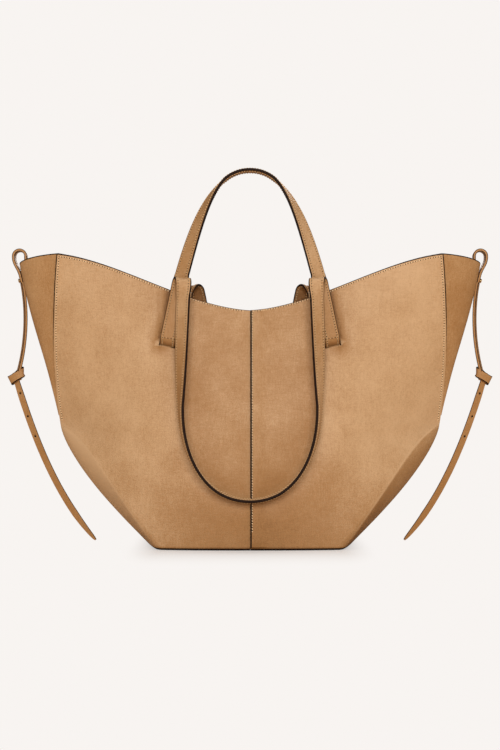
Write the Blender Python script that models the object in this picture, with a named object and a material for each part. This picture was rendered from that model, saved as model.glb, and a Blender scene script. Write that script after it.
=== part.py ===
"""Structured leather tote: lapped panels, side gussets, four strap handles and a tie at each wing.

A quarter of the body is described once, in quarter coordinates: x outward from the centre seam,
d outward from the middle plane (towards the front or the back) and z up from the floor.
"""

import math

import bmesh
import bpy
from mathutils import Vector

# Leather, gaps and seams
PANEL_THICKNESS = 0.0022
FACING_THICKNESS = 0.0012
PATCH_THICKNESS = 0.0015
BOARD_THICKNESS = 0.0025
TOUCH_GAP = 0.0004
LAYER_GAP = 0.0007
LAP = 0.008
LAP_RUNOUT = 0.012
TONGUE = 0.007

# Body, quarter coordinates
BASE_HALF_LENGTH = 0.112
BASE_END_REACH = 0.127
BASE_HALF_DEPTH = 0.075
CREASE_BASE_DEPTH = 0.070
BASE_RADIUS = 0.009
FLANGE = 0.0035
CORNER_HEIGHT = 0.149
CORNER_REACH = 0.2395
SEAM_TOP_HEIGHT = 0.3593
SEAM_TOP_REACH = 0.2362
SEAM_TOP_DEPTH = 0.050
SEAM_BOW = 0.0039
WING_TIP_HEIGHT = 0.3504
WING_TIP_REACH = 0.2902
RIDGE_WAVE = 0.0016
RIDGE_LAND = 0.0055
RIM_MIDDLE_HEIGHT = 0.2893
RIM_HALF_DEPTH = 0.060
BELLY = 0.014
CREASE_SOFTNESS = 0.015
FACING_HEIGHT = 0.030

# Curve characters of the body, shares of the spans that they bend and powers
CREASE_TURN_SHARE = 0.23
CREASE_TURN_POWER = 7
CREASE_DEPTH_POWER = 1.6
SIDE_POWER = 1.44
SEAM_DEPTH_POWER = 0.85
FACE_POWER = 2.2
FACET_POWER = 1.6
GUSSET_POWER = 1.7
GUSSET_RIM_POWER = 1.5
RIM_DROP_POWER = 3
RIM_MIDDLE_SLOPE_SHARE = 0.2
RIM_SEAM_SLOPE_SHARE = 0.4
SOFT_LIMIT_SHARE = 0.45
SLOPE_SHARE = 0.035
FACING_REACH_SHARE = 0.94
SKIVED_SHARE = 0.3
WHOLE_WALL_SHARE = 0.45

MITRE_LIMIT_SHARE = 0.2

# Mesh counts
FACE_COLUMNS = 8
FACET_COLUMNS = 3
LOWER_ROWS = 7
UPPER_ROWS = 9
ROUND_STEPS = 3
FOLD_STEPS = 4
GUSSET_COLUMNS = 4
LOOP_INNER_STEPS = 6
LOOP_OUTER_STEPS = 8
HANGING_STEPS = 14
TAIL_STEPS = 20

# Handle straps
STRAP_WIDTH = 0.019
STRAP_THICKNESS = 0.0042
STRAP_EDGE = 0.0009
STRAP_LEAN = math.radians(12)
SLOT_REACH = 0.0985
SLOT_HEIGHT = 0.2555
SLOT_OPENING = 0.024
SLOT_CLEARANCE = 0.0005
PASS_LENGTH = 0.022
INSIDE_LENGTH = 0.026
PATCH_WIDTH = 0.036
PATCH_HEIGHT = 0.040

# Short handles
SHORT_HINGE_HEIGHT = 0.333
SHORT_ARCH_HEIGHT = 0.128
SHORT_FOOT_PULL = 0.081
SHORT_TOP_PULL = 0.042
SHORT_FOOT_LEAN = math.radians(14.9)
SHORT_PLANE_LEAN = math.radians(6.5)
SHORT_FOOT_TWIST = math.radians(22)
SHORT_BACK_APEX_HEIGHT = 0.3215
SHORT_BACK_FOLD_RADIUS = 0.0056
SHORT_BACK_BOTTOM_HEIGHT = 0.2112
SHORT_BACK_LEAD_SHARE = 0.24
SHORT_BACK_ROUND_SHARE = 0.6

# Long handles
LONG_APEX_HEIGHT = 0.3305
LONG_FOLD_RADIUS = 0.0046
LONG_BOW = 0.0045
LONG_STRAIGHT_END = 0.175
LONG_BOTTOM_HEIGHT = 0.0617
LONG_SIDE_PULL = 0.066
LONG_BOTTOM_PULL = 0.050
LONG_BOTTOM_CLEARANCE = 0.0008
LONG_LEG_DEPTH_OUT = 0.0015
LONG_BACK_BOTTOM_HEIGHT = 0.053
LONG_BACK_STRAIGHT_END = 0.166
LONG_BACK_HALF_WIDTH = 0.064
LONG_BACK_LEAN = math.radians(13)
LONG_KNEE_TURN = math.radians(68)
QUARTER_TURN = math.radians(90)
TWIST_POWER = 1.3
TWIST_END_SHARE = 0.8

# Side ties
TIE_WIDTH = 0.009
TIE_THICKNESS = 0.0024
TIE_EDGE = 0.0006
STUD_HEIGHT = 0.331
STUD_POST_RADIUS = 0.0016
STUD_HEAD_RADIUS = 0.0032
STUD_HEAD_HEIGHT = 0.0026
STUD_BACK_RADIUS = 0.0045
STUD_BACK_THICKNESS = 0.0012
STUD_HOLE_CLEARANCE = 0.0004
EYE_RADIUS = 0.0052
TIE_INSIDE_END = 0.016
LOOP_RISE = 0.0185
LOOP_OUT = 0.0085
LOOP_SWING_SHARE = 0.36
LOOP_SAG_SHARE = 0.1
LOOP_FOOT_SHARE = 0.6
LOOP_BOW_SHARE = 0.7
EYE_SHOULDER_SHARE = 0.75
EYE_ROUND_SHARES = (0.5, 0.82, 0.97)
KNOT_OUT = 0.0053
KNOT_DROP = 0.121
KNOT_REACH = WING_TIP_REACH + KNOT_OUT
KNOT_HEIGHT = STUD_HEIGHT - KNOT_DROP
KNOT_HALF_WIDTH = 0.0095
KNOT_HALF_HEIGHT = 0.0105
KNOT_DEPTH = 0.011
KNOT_ENTRY_SHARE = 0.78
KNOT_OUTLINE_SHARES = (
    (0.98, 0.0),
    (0.30, 0.62),
    (-0.52, 1.0),
    (-1.0, 0.80),
    (-1.0, -0.42),
    (0.40, -1.0),
)
KNOT_LAYER_SHARES = ((-1, 0.72), (-0.55, 1), (0.55, 1), (1, 0.72))
TAIL_TIP_REACH = 0.1965
TAIL_TIP_HEIGHT = 0.0060
TAIL_TAPER = 0.022
TAIL_TIP_SHARE = 0.25
TAIL_LEAN = math.radians(19)
TAIL_TIP_LEAN = math.radians(37)
TAIL_HOLE_RADIUS = 0.0009
TAIL_HOLE_SHARES = (0.06, 0.19, 0.32)

# Looks
SHARP_ANGLE = math.radians(35)
LEATHER_ROUGHNESS = 0.6
STRAP_ROUGHNESS = 0.55
LINING_ROUGHNESS = 0.7
BOARD_ROUGHNESS = 0.8
METAL_ROUGHNESS = 0.3
LEATHER_COLOUR = (0.50, 0.29, 0.135, 1.0)
GUSSET_COLOUR = (0.42, 0.23, 0.10, 1.0)
BOARD_COLOUR = (0.30, 0.22, 0.14, 1.0)
METAL_COLOUR = (0.62, 0.45, 0.24, 1.0)

LEFT = -1
RIGHT = 1
FRONT = -1
BACK = 1
SIDES = {"left": LEFT, "right": RIGHT}
FACES = {"front": FRONT, "back": BACK}


def clamp(value):
    return min(1, max(0, value))


def smooth(value):
    q = clamp(value)
    return q * q * (3 - 2 * q)


def mix(a, b, share):
    return a + (b - a) * share


def bezier(p0, p1, p2, p3, s):
    r = 1 - s
    return p0 * (r ** 3) + p1 * (3 * r * r * s) + p2 * (3 * r * s * s) + p3 * (s ** 3)


def place(point, side, face):
    """Turn a quarter point into a world point."""
    return Vector((side * point.x, face * point.y, point.z))


# The body's surface


def middle_height(height):
    """Height at the centre seam of the row whose outer end is at this height."""
    drop = SEAM_TOP_HEIGHT - RIM_MIDDLE_HEIGHT
    return height - drop * (height / SEAM_TOP_HEIGHT) ** RIM_DROP_POWER


def middle_depth(height):
    q = height / RIM_MIDDLE_HEIGHT
    return mix(BASE_HALF_DEPTH, RIM_HALF_DEPTH, q) + BELLY * math.sin(math.pi * q)


def edge_point(height):
    """Outer edge of the face: the soft crease below the corner, the gusset seam above it."""
    half_gap = TOUCH_GAP / 2
    if height <= CORNER_HEIGHT:
        q = height / CORNER_HEIGHT
        run = mix(q, q ** CREASE_TURN_POWER, CREASE_TURN_SHARE)
        reach = mix(BASE_HALF_LENGTH, CORNER_REACH, run)
        depth = mix(CREASE_BASE_DEPTH, half_gap, q ** CREASE_DEPTH_POWER)
        return Vector((reach, depth, height))
    q = (height - CORNER_HEIGHT) / (SEAM_TOP_HEIGHT - CORNER_HEIGHT)
    reach = mix(CORNER_REACH, SEAM_TOP_REACH, q) + SEAM_BOW * 4 * q * (1 - q)
    depth = mix(half_gap, SEAM_TOP_DEPTH, q ** SEAM_DEPTH_POWER)
    return Vector((reach, depth, height))


def side_point(height):
    """Where the front and back panels meet, below the corner."""
    q = clamp(height / CORNER_HEIGHT)
    reach = mix(BASE_END_REACH, CORNER_REACH, 1 - (1 - q) ** SIDE_POWER)
    return Vector((reach, TOUCH_GAP / 2, height))


def rim_rise(u):
    """Share of the rise from the centre seam to the outer end of a row."""
    start = (u ** 3 - 2 * u * u + u) * RIM_MIDDLE_SLOPE_SHARE
    end = (u ** 3 - u * u) * RIM_SEAM_SLOPE_SHARE
    return smooth(u) + start + end


def face_point(height, u):
    edge = edge_point(height)
    middle = middle_height(height)
    depth = mix(middle_depth(middle), edge.y, u ** FACE_POWER)
    return Vector((edge.x * u, depth, mix(middle, edge.z, rim_rise(u))))


def facet_point(height, w):
    edge = edge_point(height)
    side = side_point(height)
    depth = mix(edge.y, side.y, w)
    reach = mix(side.x, edge.x, (1 - w) ** FACET_POWER)
    return Vector((reach, depth, height))


def face_normal(height, u):
    """Outward normal of the face above the corner, from the slopes of its surface."""
    step = (SEAM_TOP_HEIGHT - CORNER_HEIGHT) * SLOPE_SHARE
    low = max(CORNER_HEIGHT, height - step)
    across = face_point(height, u) - face_point(height, max(0, u - SLOPE_SHARE))
    up = face_point(low + step, u) - face_point(low, u)
    return up.cross(across).normalized()


def face_depth(reach, height):
    """Depth of the face's outer surface at a reach and a height, found by halving."""
    low = 0.0
    high = SEAM_TOP_HEIGHT
    for _ in range(30):
        guess = (low + high) / 2
        u = clamp(reach / edge_point(guess).x)
        if face_point(guess, u).z < height:
            low = guess
        else:
            high = guess
    return face_point(low, clamp(reach / edge_point(low).x)).y


def rim_height(reach):
    u = reach / edge_point(SEAM_TOP_HEIGHT).x
    return face_point(SEAM_TOP_HEIGHT, u).z


def round_inset(height):
    """How far the body turns in below the radius at its base."""
    rise = BASE_RADIUS - min(height, BASE_RADIUS)
    return BASE_RADIUS - math.sqrt(BASE_RADIUS ** 2 - rise ** 2)


def inset_row(points, inset):
    """Move a level row inward, square to itself."""
    moved = []
    last = len(points) - 1
    for i, point in enumerate(points):
        along = points[min(i + 1, last)] - points[max(i - 1, 0)]
        outward = Vector((-along.y, along.x, 0)).normalized()
        if i == 0:
            outward = Vector((0, 1, 0))
        elif i == last:
            outward = Vector((1, 0, 0))
        moved.append(point - outward * inset)
    return moved


def body_row(height, inset):
    """One row of a quarter of the body, from the centre seam outward."""
    edge = edge_point(height)
    start = (LAP + LAP_RUNOUT) / edge.x
    end = 1
    corner = []
    facet = []
    if height < CORNER_HEIGHT:
        facet_length = (side_point(height) - edge).length
        soft = min(CREASE_SOFTNESS, SOFT_LIMIT_SHARE * facet_length)
        end = 1 - soft / edge.x
        first = soft / facet_length
        a = face_point(height, end)
        c = facet_point(height, first)
        for k in (1, 2, 3):
            s = k / 4
            corner.append(a * (1 - s) ** 2 + edge * (2 * s * (1 - s)) + c * s ** 2)
        facet = [facet_point(height, mix(first, 1, k / FACET_COLUMNS)) for k in range(FACET_COLUMNS + 1)]
    elif height == CORNER_HEIGHT:
        facet = [edge] * (FACET_COLUMNS + 4)
    shares = [0, LAP / edge.x] + [mix(start, end, k / FACE_COLUMNS) for k in range(FACE_COLUMNS + 1)]
    row = [face_point(height, u) for u in shares] + corner + facet
    if inset:
        row = inset_row(row, inset)
    return row


def body_heights():
    heights = []
    for k in range(ROUND_STEPS):
        turn = QUARTER_TURN * k / ROUND_STEPS
        heights.append(BASE_RADIUS * (1 - math.cos(turn)))
    heights.append(BASE_RADIUS)
    heights += [mix(BASE_RADIUS * 2, CORNER_HEIGHT, k / LOWER_ROWS) for k in range(LOWER_ROWS)]
    heights.append(CORNER_HEIGHT)
    heights += [mix(CORNER_HEIGHT, SEAM_TOP_HEIGHT, k / UPPER_ROWS) for k in range(1, UPPER_ROWS + 1)]
    return heights


# Making solids


def leather(name, colour, roughness=LEATHER_ROUGHNESS, metallic=0.0):
    material = bpy.data.materials.new(name)
    material.use_nodes = True
    shader = material.node_tree.nodes["Principled BSDF"]
    shader.inputs["Base Color"].default_value = colour
    shader.inputs["Roughness"].default_value = roughness
    shader.inputs["Metallic"].default_value = metallic
    material.diffuse_color = colour
    return material


def add_object(name, bm, material, origin=None, parent=None):
    """Put a closed mesh in the scene, with its origin where asked."""
    bmesh.ops.recalc_face_normals(bm, faces=bm.faces)
    mesh = bpy.data.meshes.new(name)
    origin = origin or Vector((0, 0, 0))
    bmesh.ops.translate(bm, verts=bm.verts, vec=-origin)
    bm.to_mesh(mesh)
    bm.free()
    mesh.materials.append(material)
    mesh.shade_smooth()
    mesh.set_sharp_from_angle(angle=SHARP_ANGLE)
    piece = bpy.data.objects.new(name, mesh)
    bpy.context.collection.objects.link(piece)
    piece.location = origin
    if parent:
        piece.parent = parent
        piece.location = origin - parent.location
    return piece


def add_axis(name, origin):
    """An empty on a joint's axis, which carries the pieces that turn about it."""
    axis = bpy.data.objects.new(name, None)
    axis.location = origin
    bpy.context.collection.objects.link(axis)
    return axis


def cut_away(piece, name, bm):
    """Cut a hidden shape out of a piece."""
    bmesh.ops.recalc_face_normals(bm, faces=bm.faces)
    mesh = bpy.data.meshes.new(name)
    bm.to_mesh(mesh)
    bm.free()
    cutter = bpy.data.objects.new(name, mesh)
    bpy.context.collection.objects.link(cutter)
    cutter.hide_render = True
    cutter.display_type = "WIRE"
    cut = piece.modifiers.new(name, "BOOLEAN")
    cut.operation = "DIFFERENCE"
    cut.solver = "EXACT"
    cut.object = cutter


def hold_plane(normal, axis):
    """Inward step of a vertex that stays on a seam plane, for a step of one along the normal."""
    level = normal.copy()
    level[axis] = 0
    return level / max(level.length_squared, MITRE_LIMIT_SHARE)


def sheet_solid(rows, start, thickness, plane_of=None, thickness_of=None):
    """A closed leather sheet under a grid of outer points, in the grid's own coordinates.

    plane_of gives the seam plane that a point stays on, as an axis number, or None.
    """
    bm = bmesh.new()
    known = {}
    grid = []
    for row in rows:
        line = []
        for point in row:
            key = tuple(round(value, 7) for value in point)
            if key not in known:
                known[key] = bm.verts.new(point)
            line.append(known[key])
        grid.append(line)
    for low, high in zip(grid, grid[1:]):
        for i in range(len(low) - 1):
            ring = [low[i], high[min(i, len(high) - 1)]]
            ring += [high[min(i + 1, len(high) - 1)], low[i + 1]]
            corners = list(dict.fromkeys(ring))
            if len(corners) > 2:
                bm.faces.new(corners)
    bm.normal_update()
    outer_faces = list(bm.faces)
    border = [edge for edge in bm.edges if edge.is_boundary]
    inner = {}
    moved = {}
    for vert in list(bm.verts):
        axis = plane_of(vert.co) if plane_of else None
        step = vert.normal if axis is None else hold_plane(vert.normal, axis)
        wall = thickness_of(vert.co) if thickness_of else thickness
        inner[vert] = bm.verts.new(vert.co - step * (start + wall))
        moved[vert] = vert.co - step * start
    for face in outer_faces:
        bm.faces.new([inner[vert] for vert in reversed(face.verts)])
    for edge in border:
        a, b = edge.verts
        bm.faces.new([a, b, inner[b], inner[a]])
    for vert, place_now in moved.items():
        vert.co = place_now
    return bm


def mirror_quarter(bm, side, face):
    for vert in bm.verts:
        vert.co = place(vert.co, side, face)


def strap_solid(stations, width, thickness, edge, start_cut=None, end_cut=None):
    """Sweep a flat strap with rounded edges along stations of (centre, across, width share).

    A cut is an axis number and a value: the end section slides along the strap to that plane.
    At the top of a fold the section stands square to the depth.
    """
    bm = bmesh.new()
    rings = []
    last = len(stations) - 1
    for i, (centre, across, share) in enumerate(stations):
        along = (stations[min(i + 1, last)][0] - stations[max(i - 1, 0)][0]).normalized()
        cut = start_cut if i == 0 else end_cut if i == last else None
        if cut and cut[0] == 1:
            along = Vector((0, math.copysign(1, along.y), 0))
        across = (across - along * across.dot(along)).normalized()
        up = along.cross(across)
        half = width / 2 * share
        flat = max(half - edge, half * SOFT_LIMIT_SHARE)
        corners = [(-half, 0), (-flat, -thickness / 2), (flat, -thickness / 2)]
        corners += [(half, 0), (flat, thickness / 2), (-flat, thickness / 2)]
        points = [centre + across * a + up * b for a, b in corners]
        if cut:
            axis, value = cut
            points = [point + along * ((value - point[axis]) / along[axis]) for point in points]
        rings.append([bm.verts.new(point) for point in points])
    for low, high in zip(rings, rings[1:]):
        for i in range(len(low)):
            j = (i + 1) % len(low)
            bm.faces.new([low[i], low[j], high[j], high[i]])
    bm.faces.new(list(reversed(rings[0])))
    bm.faces.new(rings[-1])
    return bm


def disc_solid(centre, direction, radius, length, sides=20):
    """A short round bar that starts at a centre and runs along a direction."""
    bm = bmesh.new()
    along = direction.normalized()
    across = along.orthogonal().normalized()
    up = along.cross(across)
    rings = []
    for reach in (0, length):
        ring = []
        for k in range(sides):
            turn = math.tau * k / sides
            spoke = across * math.cos(turn) + up * math.sin(turn)
            ring.append(bm.verts.new(centre + along * reach + spoke * radius))
        rings.append(ring)
    for k in range(sides):
        j = (k + 1) % sides
        bm.faces.new([rings[0][k], rings[0][j], rings[1][j], rings[1][k]])
    bm.faces.new(list(reversed(rings[0])))
    bm.faces.new(rings[1])
    return bm


def plate_solid(outline, low, high):
    """A flat plate over an outline of (x, y) points."""
    bm = bmesh.new()
    bottom = [bm.verts.new((x, y, low)) for x, y in outline]
    top = [bm.verts.new((x, y, high)) for x, y in outline]
    count = len(outline)
    for i in range(count):
        j = (i + 1) % count
        bm.faces.new([bottom[i], bottom[j], top[j], top[i]])
    bm.faces.new(list(reversed(bottom)))
    bm.faces.new(top)
    return bm


# Body pieces


def lap_share(height):
    """The lap at the centre seam starts above the turned base and is whole one radius higher."""
    return smooth((height - BASE_RADIUS) / BASE_RADIUS)


def panel_rows(side):
    """Outer surface of a panel half. The right half is raised where it laps the left one."""
    step = PANEL_THICKNESS + TOUCH_GAP
    rows = [body_row(0, BASE_RADIUS + FLANGE)]
    rows += [body_row(height, round_inset(height)) for height in body_heights()]
    shaped = []
    for row in rows:
        height = row[0].z
        row = [point.copy() for point in row]
        if side == RIGHT:
            row[0].x = TOUCH_GAP
            for point in row:
                raised = 1 - smooth((point.x - LAP) / LAP_RUNOUT)
                point.y += step * raised * lap_share(height)
        else:
            tongue = LAP * lap_share(height - BASE_RADIUS)
            row.insert(0, row[0] - Vector((tongue, 0, 0)))
        shaped.append(row)
    return shaped


def seam_plane(point):
    if abs(point.y - TOUCH_GAP / 2) < TOUCH_GAP / 4:
        return 1
    return None


def slot_frame():
    """Centre of the strap slot, the straps' direction and the direction across them."""
    centre = Vector((SLOT_REACH, face_depth(SLOT_REACH, SLOT_HEIGHT), SLOT_HEIGHT))
    along = Vector((-math.sin(STRAP_LEAN), 0, math.cos(STRAP_LEAN)))
    across = Vector((-math.cos(STRAP_LEAN), 0, -math.sin(STRAP_LEAN)))
    return centre, along, across


def slot_cutter(side, face):
    centre, along, across = slot_frame()
    half_across = across * (STRAP_WIDTH / 2 + SLOT_CLEARANCE)
    half_along = along * (SLOT_OPENING / 2)
    through = Vector((0, STRAP_WIDTH / 2, 0))
    bm = bmesh.new()
    corners = [half_across + half_along, half_across - half_along]
    corners += [-half_across - half_along, -half_across + half_along]
    inner = [bm.verts.new(place(centre + corner - through, side, face)) for corner in corners]
    outer = [bm.verts.new(place(centre + corner + through, side, face)) for corner in corners]
    for i in range(4):
        j = (i + 1) % 4
        bm.faces.new([inner[i], inner[j], outer[j], outer[i]])
    bm.faces.new(list(reversed(inner)))
    bm.faces.new(outer)
    return bm


def build_panels(material):
    for face_name, face in FACES.items():
        for side_name, side in SIDES.items():
            bm = sheet_solid(panel_rows(side), 0, PANEL_THICKNESS, seam_plane)
            mirror_quarter(bm, side, face)
            name = f"{face_name}_panel_{side_name}"
            panel = add_object(name, bm, material)
            cut_away(panel, f"{name}_slot", slot_cutter(side, face))


def ridge_point(share):
    """The gusset's outer ridge, from the corner to the wing tip."""
    reach = mix(CORNER_REACH, WING_TIP_REACH, share) - RIDGE_WAVE * math.sin(math.tau * share)
    return Vector((reach, 0, mix(CORNER_HEIGHT, WING_TIP_HEIGHT, share)))


def ridge_share(height):
    return (height - CORNER_HEIGHT) / (WING_TIP_HEIGHT - CORNER_HEIGHT)


def gusset_rows(with_tongues, shares):
    """Outer surface of a gusset, from the front panel's edge round the ridge to the back's."""
    step = PANEL_THICKNESS + LAYER_GAP
    rows = []
    for share in shares:
        height = mix(CORNER_HEIGHT, SEAM_TOP_HEIGHT, share)
        edge = edge_point(height)
        seam = edge - face_normal(height, 1) * step
        seam.y = max(seam.y, TOUCH_GAP)
        ridge = ridge_point(share)
        half = []
        if with_tongues:
            width = min(TONGUE, edge.y * SOFT_LIMIT_SHARE)
            u = 1 - width / edge.x
            half.append(face_point(height, u) - face_normal(height, u) * step)
        land = min(RIDGE_LAND, seam.y * SOFT_LIMIT_SHARE)
        for j in range(GUSSET_COLUMNS + 1):
            w = j / GUSSET_COLUMNS
            reach = mix(ridge.x, seam.x, (1 - w) ** GUSSET_POWER)
            rise = mix(seam.z, ridge.z, w ** GUSSET_RIM_POWER)
            half.append(Vector((reach, mix(seam.y, land, w), rise)))
        back = [Vector((point.x, -point.y, point.z)) for point in reversed(half)]
        rows.append(half + back)
    return rows


def gusset_wall(point):
    """Skived thin towards the low point, where the front and back panels close on it."""
    share = clamp(ridge_share(point.z))
    return PANEL_THICKNESS * max(SKIVED_SHARE, clamp(share / WHOLE_WALL_SHARE))


def ridge_normal():
    run = ridge_point(ridge_share(WING_TIP_HEIGHT)) - ridge_point(ridge_share(STUD_HEIGHT))
    return Vector((run.z, 0, -run.x)).normalized()


def stud_point(offset):
    """A point on the stud's axis, a given way out from the ridge."""
    return ridge_point(ridge_share(STUD_HEIGHT)) + ridge_normal() * offset


def stud_hole(side, radius):
    reach = STUD_HEAD_RADIUS * 4
    centre = place(stud_point(-reach), side, FRONT)
    direction = place(ridge_normal(), side, FRONT)
    return disc_solid(centre, direction, radius, reach * 2)


def inside_level(layers):
    """Distance in from the wing's outer surface to the outside of a layer within it."""
    depth = PANEL_THICKNESS + TOUCH_GAP
    for layer in layers:
        depth += layer + TOUCH_GAP
    return depth


def build_gussets(material, facing_material):
    hole = STUD_POST_RADIUS + STUD_HOLE_CLEARANCE
    for side_name, side in SIDES.items():
        rows = gusset_rows(True, [k / UPPER_ROWS for k in range(1, UPPER_ROWS + 1)])
        bm = sheet_solid(rows, 0, PANEL_THICKNESS, None, gusset_wall)
        mirror_quarter(bm, side, FRONT)
        gusset = add_object(f"side_gusset_{side_name}", bm, material)
        cut_away(gusset, f"side_gusset_{side_name}_hole", stud_hole(side, hole))
        low = 1 - FACING_HEIGHT / (SEAM_TOP_HEIGHT - CORNER_HEIGHT)
        rows = gusset_rows(False, [low, (low + 1) / 2, 1])
        bm = sheet_solid(rows, inside_level([]), FACING_THICKNESS)
        mirror_quarter(bm, side, FRONT)
        facing = add_object(f"wing_facing_{side_name}", bm, facing_material)
        cut_away(facing, f"wing_facing_{side_name}_hole", stud_hole(side, hole))


def build_rim_facings(material):
    """A strip inside each rim, sewn to both halves of the panel."""
    start = PANEL_THICKNESS + TOUCH_GAP
    columns = FACE_COLUMNS * 2
    for face_name, face in FACES.items():
        rows = []
        for k in range(3):
            height = SEAM_TOP_HEIGHT - FACING_HEIGHT * (1 - k / 2)
            row = []
            for j in range(columns + 1):
                share = mix(-FACING_REACH_SHARE, FACING_REACH_SHARE, j / columns)
                point = face_point(height, abs(share))
                point.x = math.copysign(point.x, share)
                row.append(point)
            rows.append(row)
        bm = sheet_solid(rows, start, FACING_THICKNESS)
        mirror_quarter(bm, RIGHT, face)
        add_object(f"rim_facing_{face_name}", bm, material)


def base_outline(inset):
    quarter = inset_row(body_row(0, 0), inset)
    quarter = [point for i, point in enumerate(quarter) if i not in (1, 2)]
    front_right = [(point.x, -point.y) for point in quarter]
    back_right = [(x, -y) for x, y in reversed(front_right)]
    back_left = [(-x, y) for x, y in reversed(back_right)][1:]
    front_left = [(-x, y) for x, y in reversed(front_right)][:-1]
    return front_right + back_right + back_left + front_left


def build_base(leather_material, board_material):
    inset = BASE_RADIUS + FLANGE + TOUCH_GAP
    bm = plate_solid(base_outline(inset), 0, PANEL_THICKNESS)
    add_object("base_panel", bm, leather_material)
    low = PANEL_THICKNESS + TOUCH_GAP
    bm = plate_solid(base_outline(BASE_RADIUS), low, low + BOARD_THICKNESS)
    add_object("base_board", bm, board_material)


# Handle straps


def strap_reach(height):
    return SLOT_REACH - (height - SLOT_HEIGHT) * math.tan(STRAP_LEAN)


def face_across(height):
    """Direction across a strap that lies on the face, with the face's slope."""
    half = slot_frame()[2] * (STRAP_WIDTH / 2)
    centre = Vector((strap_reach(height), 0, min(height, rim_height(strap_reach(height)))))
    inner = centre + half
    outer = centre - half
    half.y = (face_depth(inner.x, inner.z) - face_depth(outer.x, outer.z)) / 2
    return half.normalized()


def pair_depth(height):
    """Depth of the middle between the short and long strap ends as they pass the slot."""
    surface = face_depth(strap_reach(height), min(height, rim_height(strap_reach(height))))
    stack = STRAP_THICKNESS + LAYER_GAP * 1.5
    outside = surface + stack
    inside = surface - PANEL_THICKNESS - stack
    share = smooth((height - SLOT_HEIGHT) / PASS_LENGTH + 0.5)
    return mix(inside, outside, share)


def end_stations(layer, top, bow):
    """A strap end from inside the bag, out through the slot and up to a height.

    layer is -1 for the short strap, next to the panel outside, and 1 for the long strap.
    """
    bottom = SLOT_HEIGHT - PASS_LENGTH / 2 - INSIDE_LENGTH
    delta = PASS_LENGTH / 8
    offset = layer * (STRAP_THICKNESS + LAYER_GAP) / 2
    pass_start = SLOT_HEIGHT - PASS_LENGTH / 2
    pass_end = SLOT_HEIGHT + PASS_LENGTH / 2
    heights = [mix(bottom, pass_start, k / 3) for k in range(3)]
    heights += [mix(pass_start, pass_end, k / 7) for k in range(7)]
    heights += [mix(pass_end, top, k / 6) for k in range(7)]
    stations = []
    for height in heights:
        slope = (pair_depth(height + delta) - pair_depth(height - delta)) / (2 * delta)
        normal = Vector((0, 1, -slope)).normalized()
        centre = Vector((strap_reach(height), pair_depth(height), height)) + normal * offset
        centre.y += bow * smooth((height - SLOT_HEIGHT) / (top - SLOT_HEIGHT))
        stations.append((centre, face_across(height), 1))
    return stations


def map_stations(stations, side, face):
    return [(place(c, side, face), place(a, side, face), share) for c, a, share in stations]


def fold_stations(start, radius, direction, lean_from, lean_to):
    """Two quarter turns of a strap folding over, from a rising strap's end."""
    stations = []
    point = start.copy()
    steps = FOLD_STEPS * 2
    for k in range(steps):
        middle = math.pi * (k + 0.5) / steps
        lean = mix(lean_from, lean_to, (k + 0.5) / steps)
        rise = math.cos(middle)
        run = Vector((-rise * math.sin(lean), direction * math.sin(middle), rise * math.cos(lean)))
        point = point + run * (2 * radius * math.sin(QUARTER_TURN / steps))
        lean = mix(lean_from, lean_to, (k + 1) / steps)
        across = Vector((-math.cos(lean), 0, -math.sin(lean)))
        stations.append((point, across, 1))
    return stations


def long_end(face_name):
    """The fixed end of a long handle: out of the slot, up and over to the top of its fold."""
    crown = LONG_APEX_HEIGHT - STRAP_THICKNESS / 2 - LONG_FOLD_RADIUS
    stations = end_stations(1, crown, LONG_BOW)
    lean_to = 0 if face_name == "front" else -LONG_BACK_LEAN
    fold = fold_stations(stations[-1][0], LONG_FOLD_RADIUS, 1, STRAP_LEAN, lean_to)
    return stations, fold


def short_back_end():
    """The fixed end of the back short handle: up and over the rim to the top of its fold.

    Its loop hangs inside the bag, short enough to swing up past the front rim.
    """
    crown = SHORT_BACK_APEX_HEIGHT - STRAP_THICKNESS / 2 - SHORT_BACK_FOLD_RADIUS
    stations = end_stations(-1, crown, 0)
    fold = fold_stations(stations[-1][0], SHORT_BACK_FOLD_RADIUS, -1, STRAP_LEAN, 0)
    return stations, fold


def turned_across(along_inward, turn):
    """Across direction of a strap whose inner edge turns outward as it nears the middle."""
    return along_inward * math.cos(turn) + Vector((0, 1, 0)) * math.sin(turn)


def curve_stations(p0, p1, p2, p3, turn_from, lean, steps, power=TWIST_POWER):
    """Half of a hanging or standing loop, twisting a quarter turn by its middle.

    The curve lies in a plane through its foot that leans away from d by an angle, up or down.
    """
    points = [bezier(p0, p1, p2, p3, k / steps) for k in range(steps + 1)]
    stations = []
    for k, point in enumerate(points):
        along = points[min(k + 1, steps)] - points[max(k - 1, 0)]
        inward = Vector((-abs(along.z), 0, math.copysign(1, -along.z) * abs(along.x))).normalized()
        turn = mix(turn_from, QUARTER_TURN, clamp(k / steps / TWIST_END_SHARE) ** power)
        rise = point.z - p0.z
        centre = Vector((point.x, point.y - abs(rise) * math.tan(lean), point.z))
        stations.append((centre, turned_across(inward, turn), 1))
    return stations


def whole_handle(half, face):
    """Stations of a whole handle from its left foot to its right foot."""
    left = map_stations(half, LEFT, face)
    right = map_stations(half[:-1], RIGHT, face)
    return left + list(reversed(right))


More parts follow.
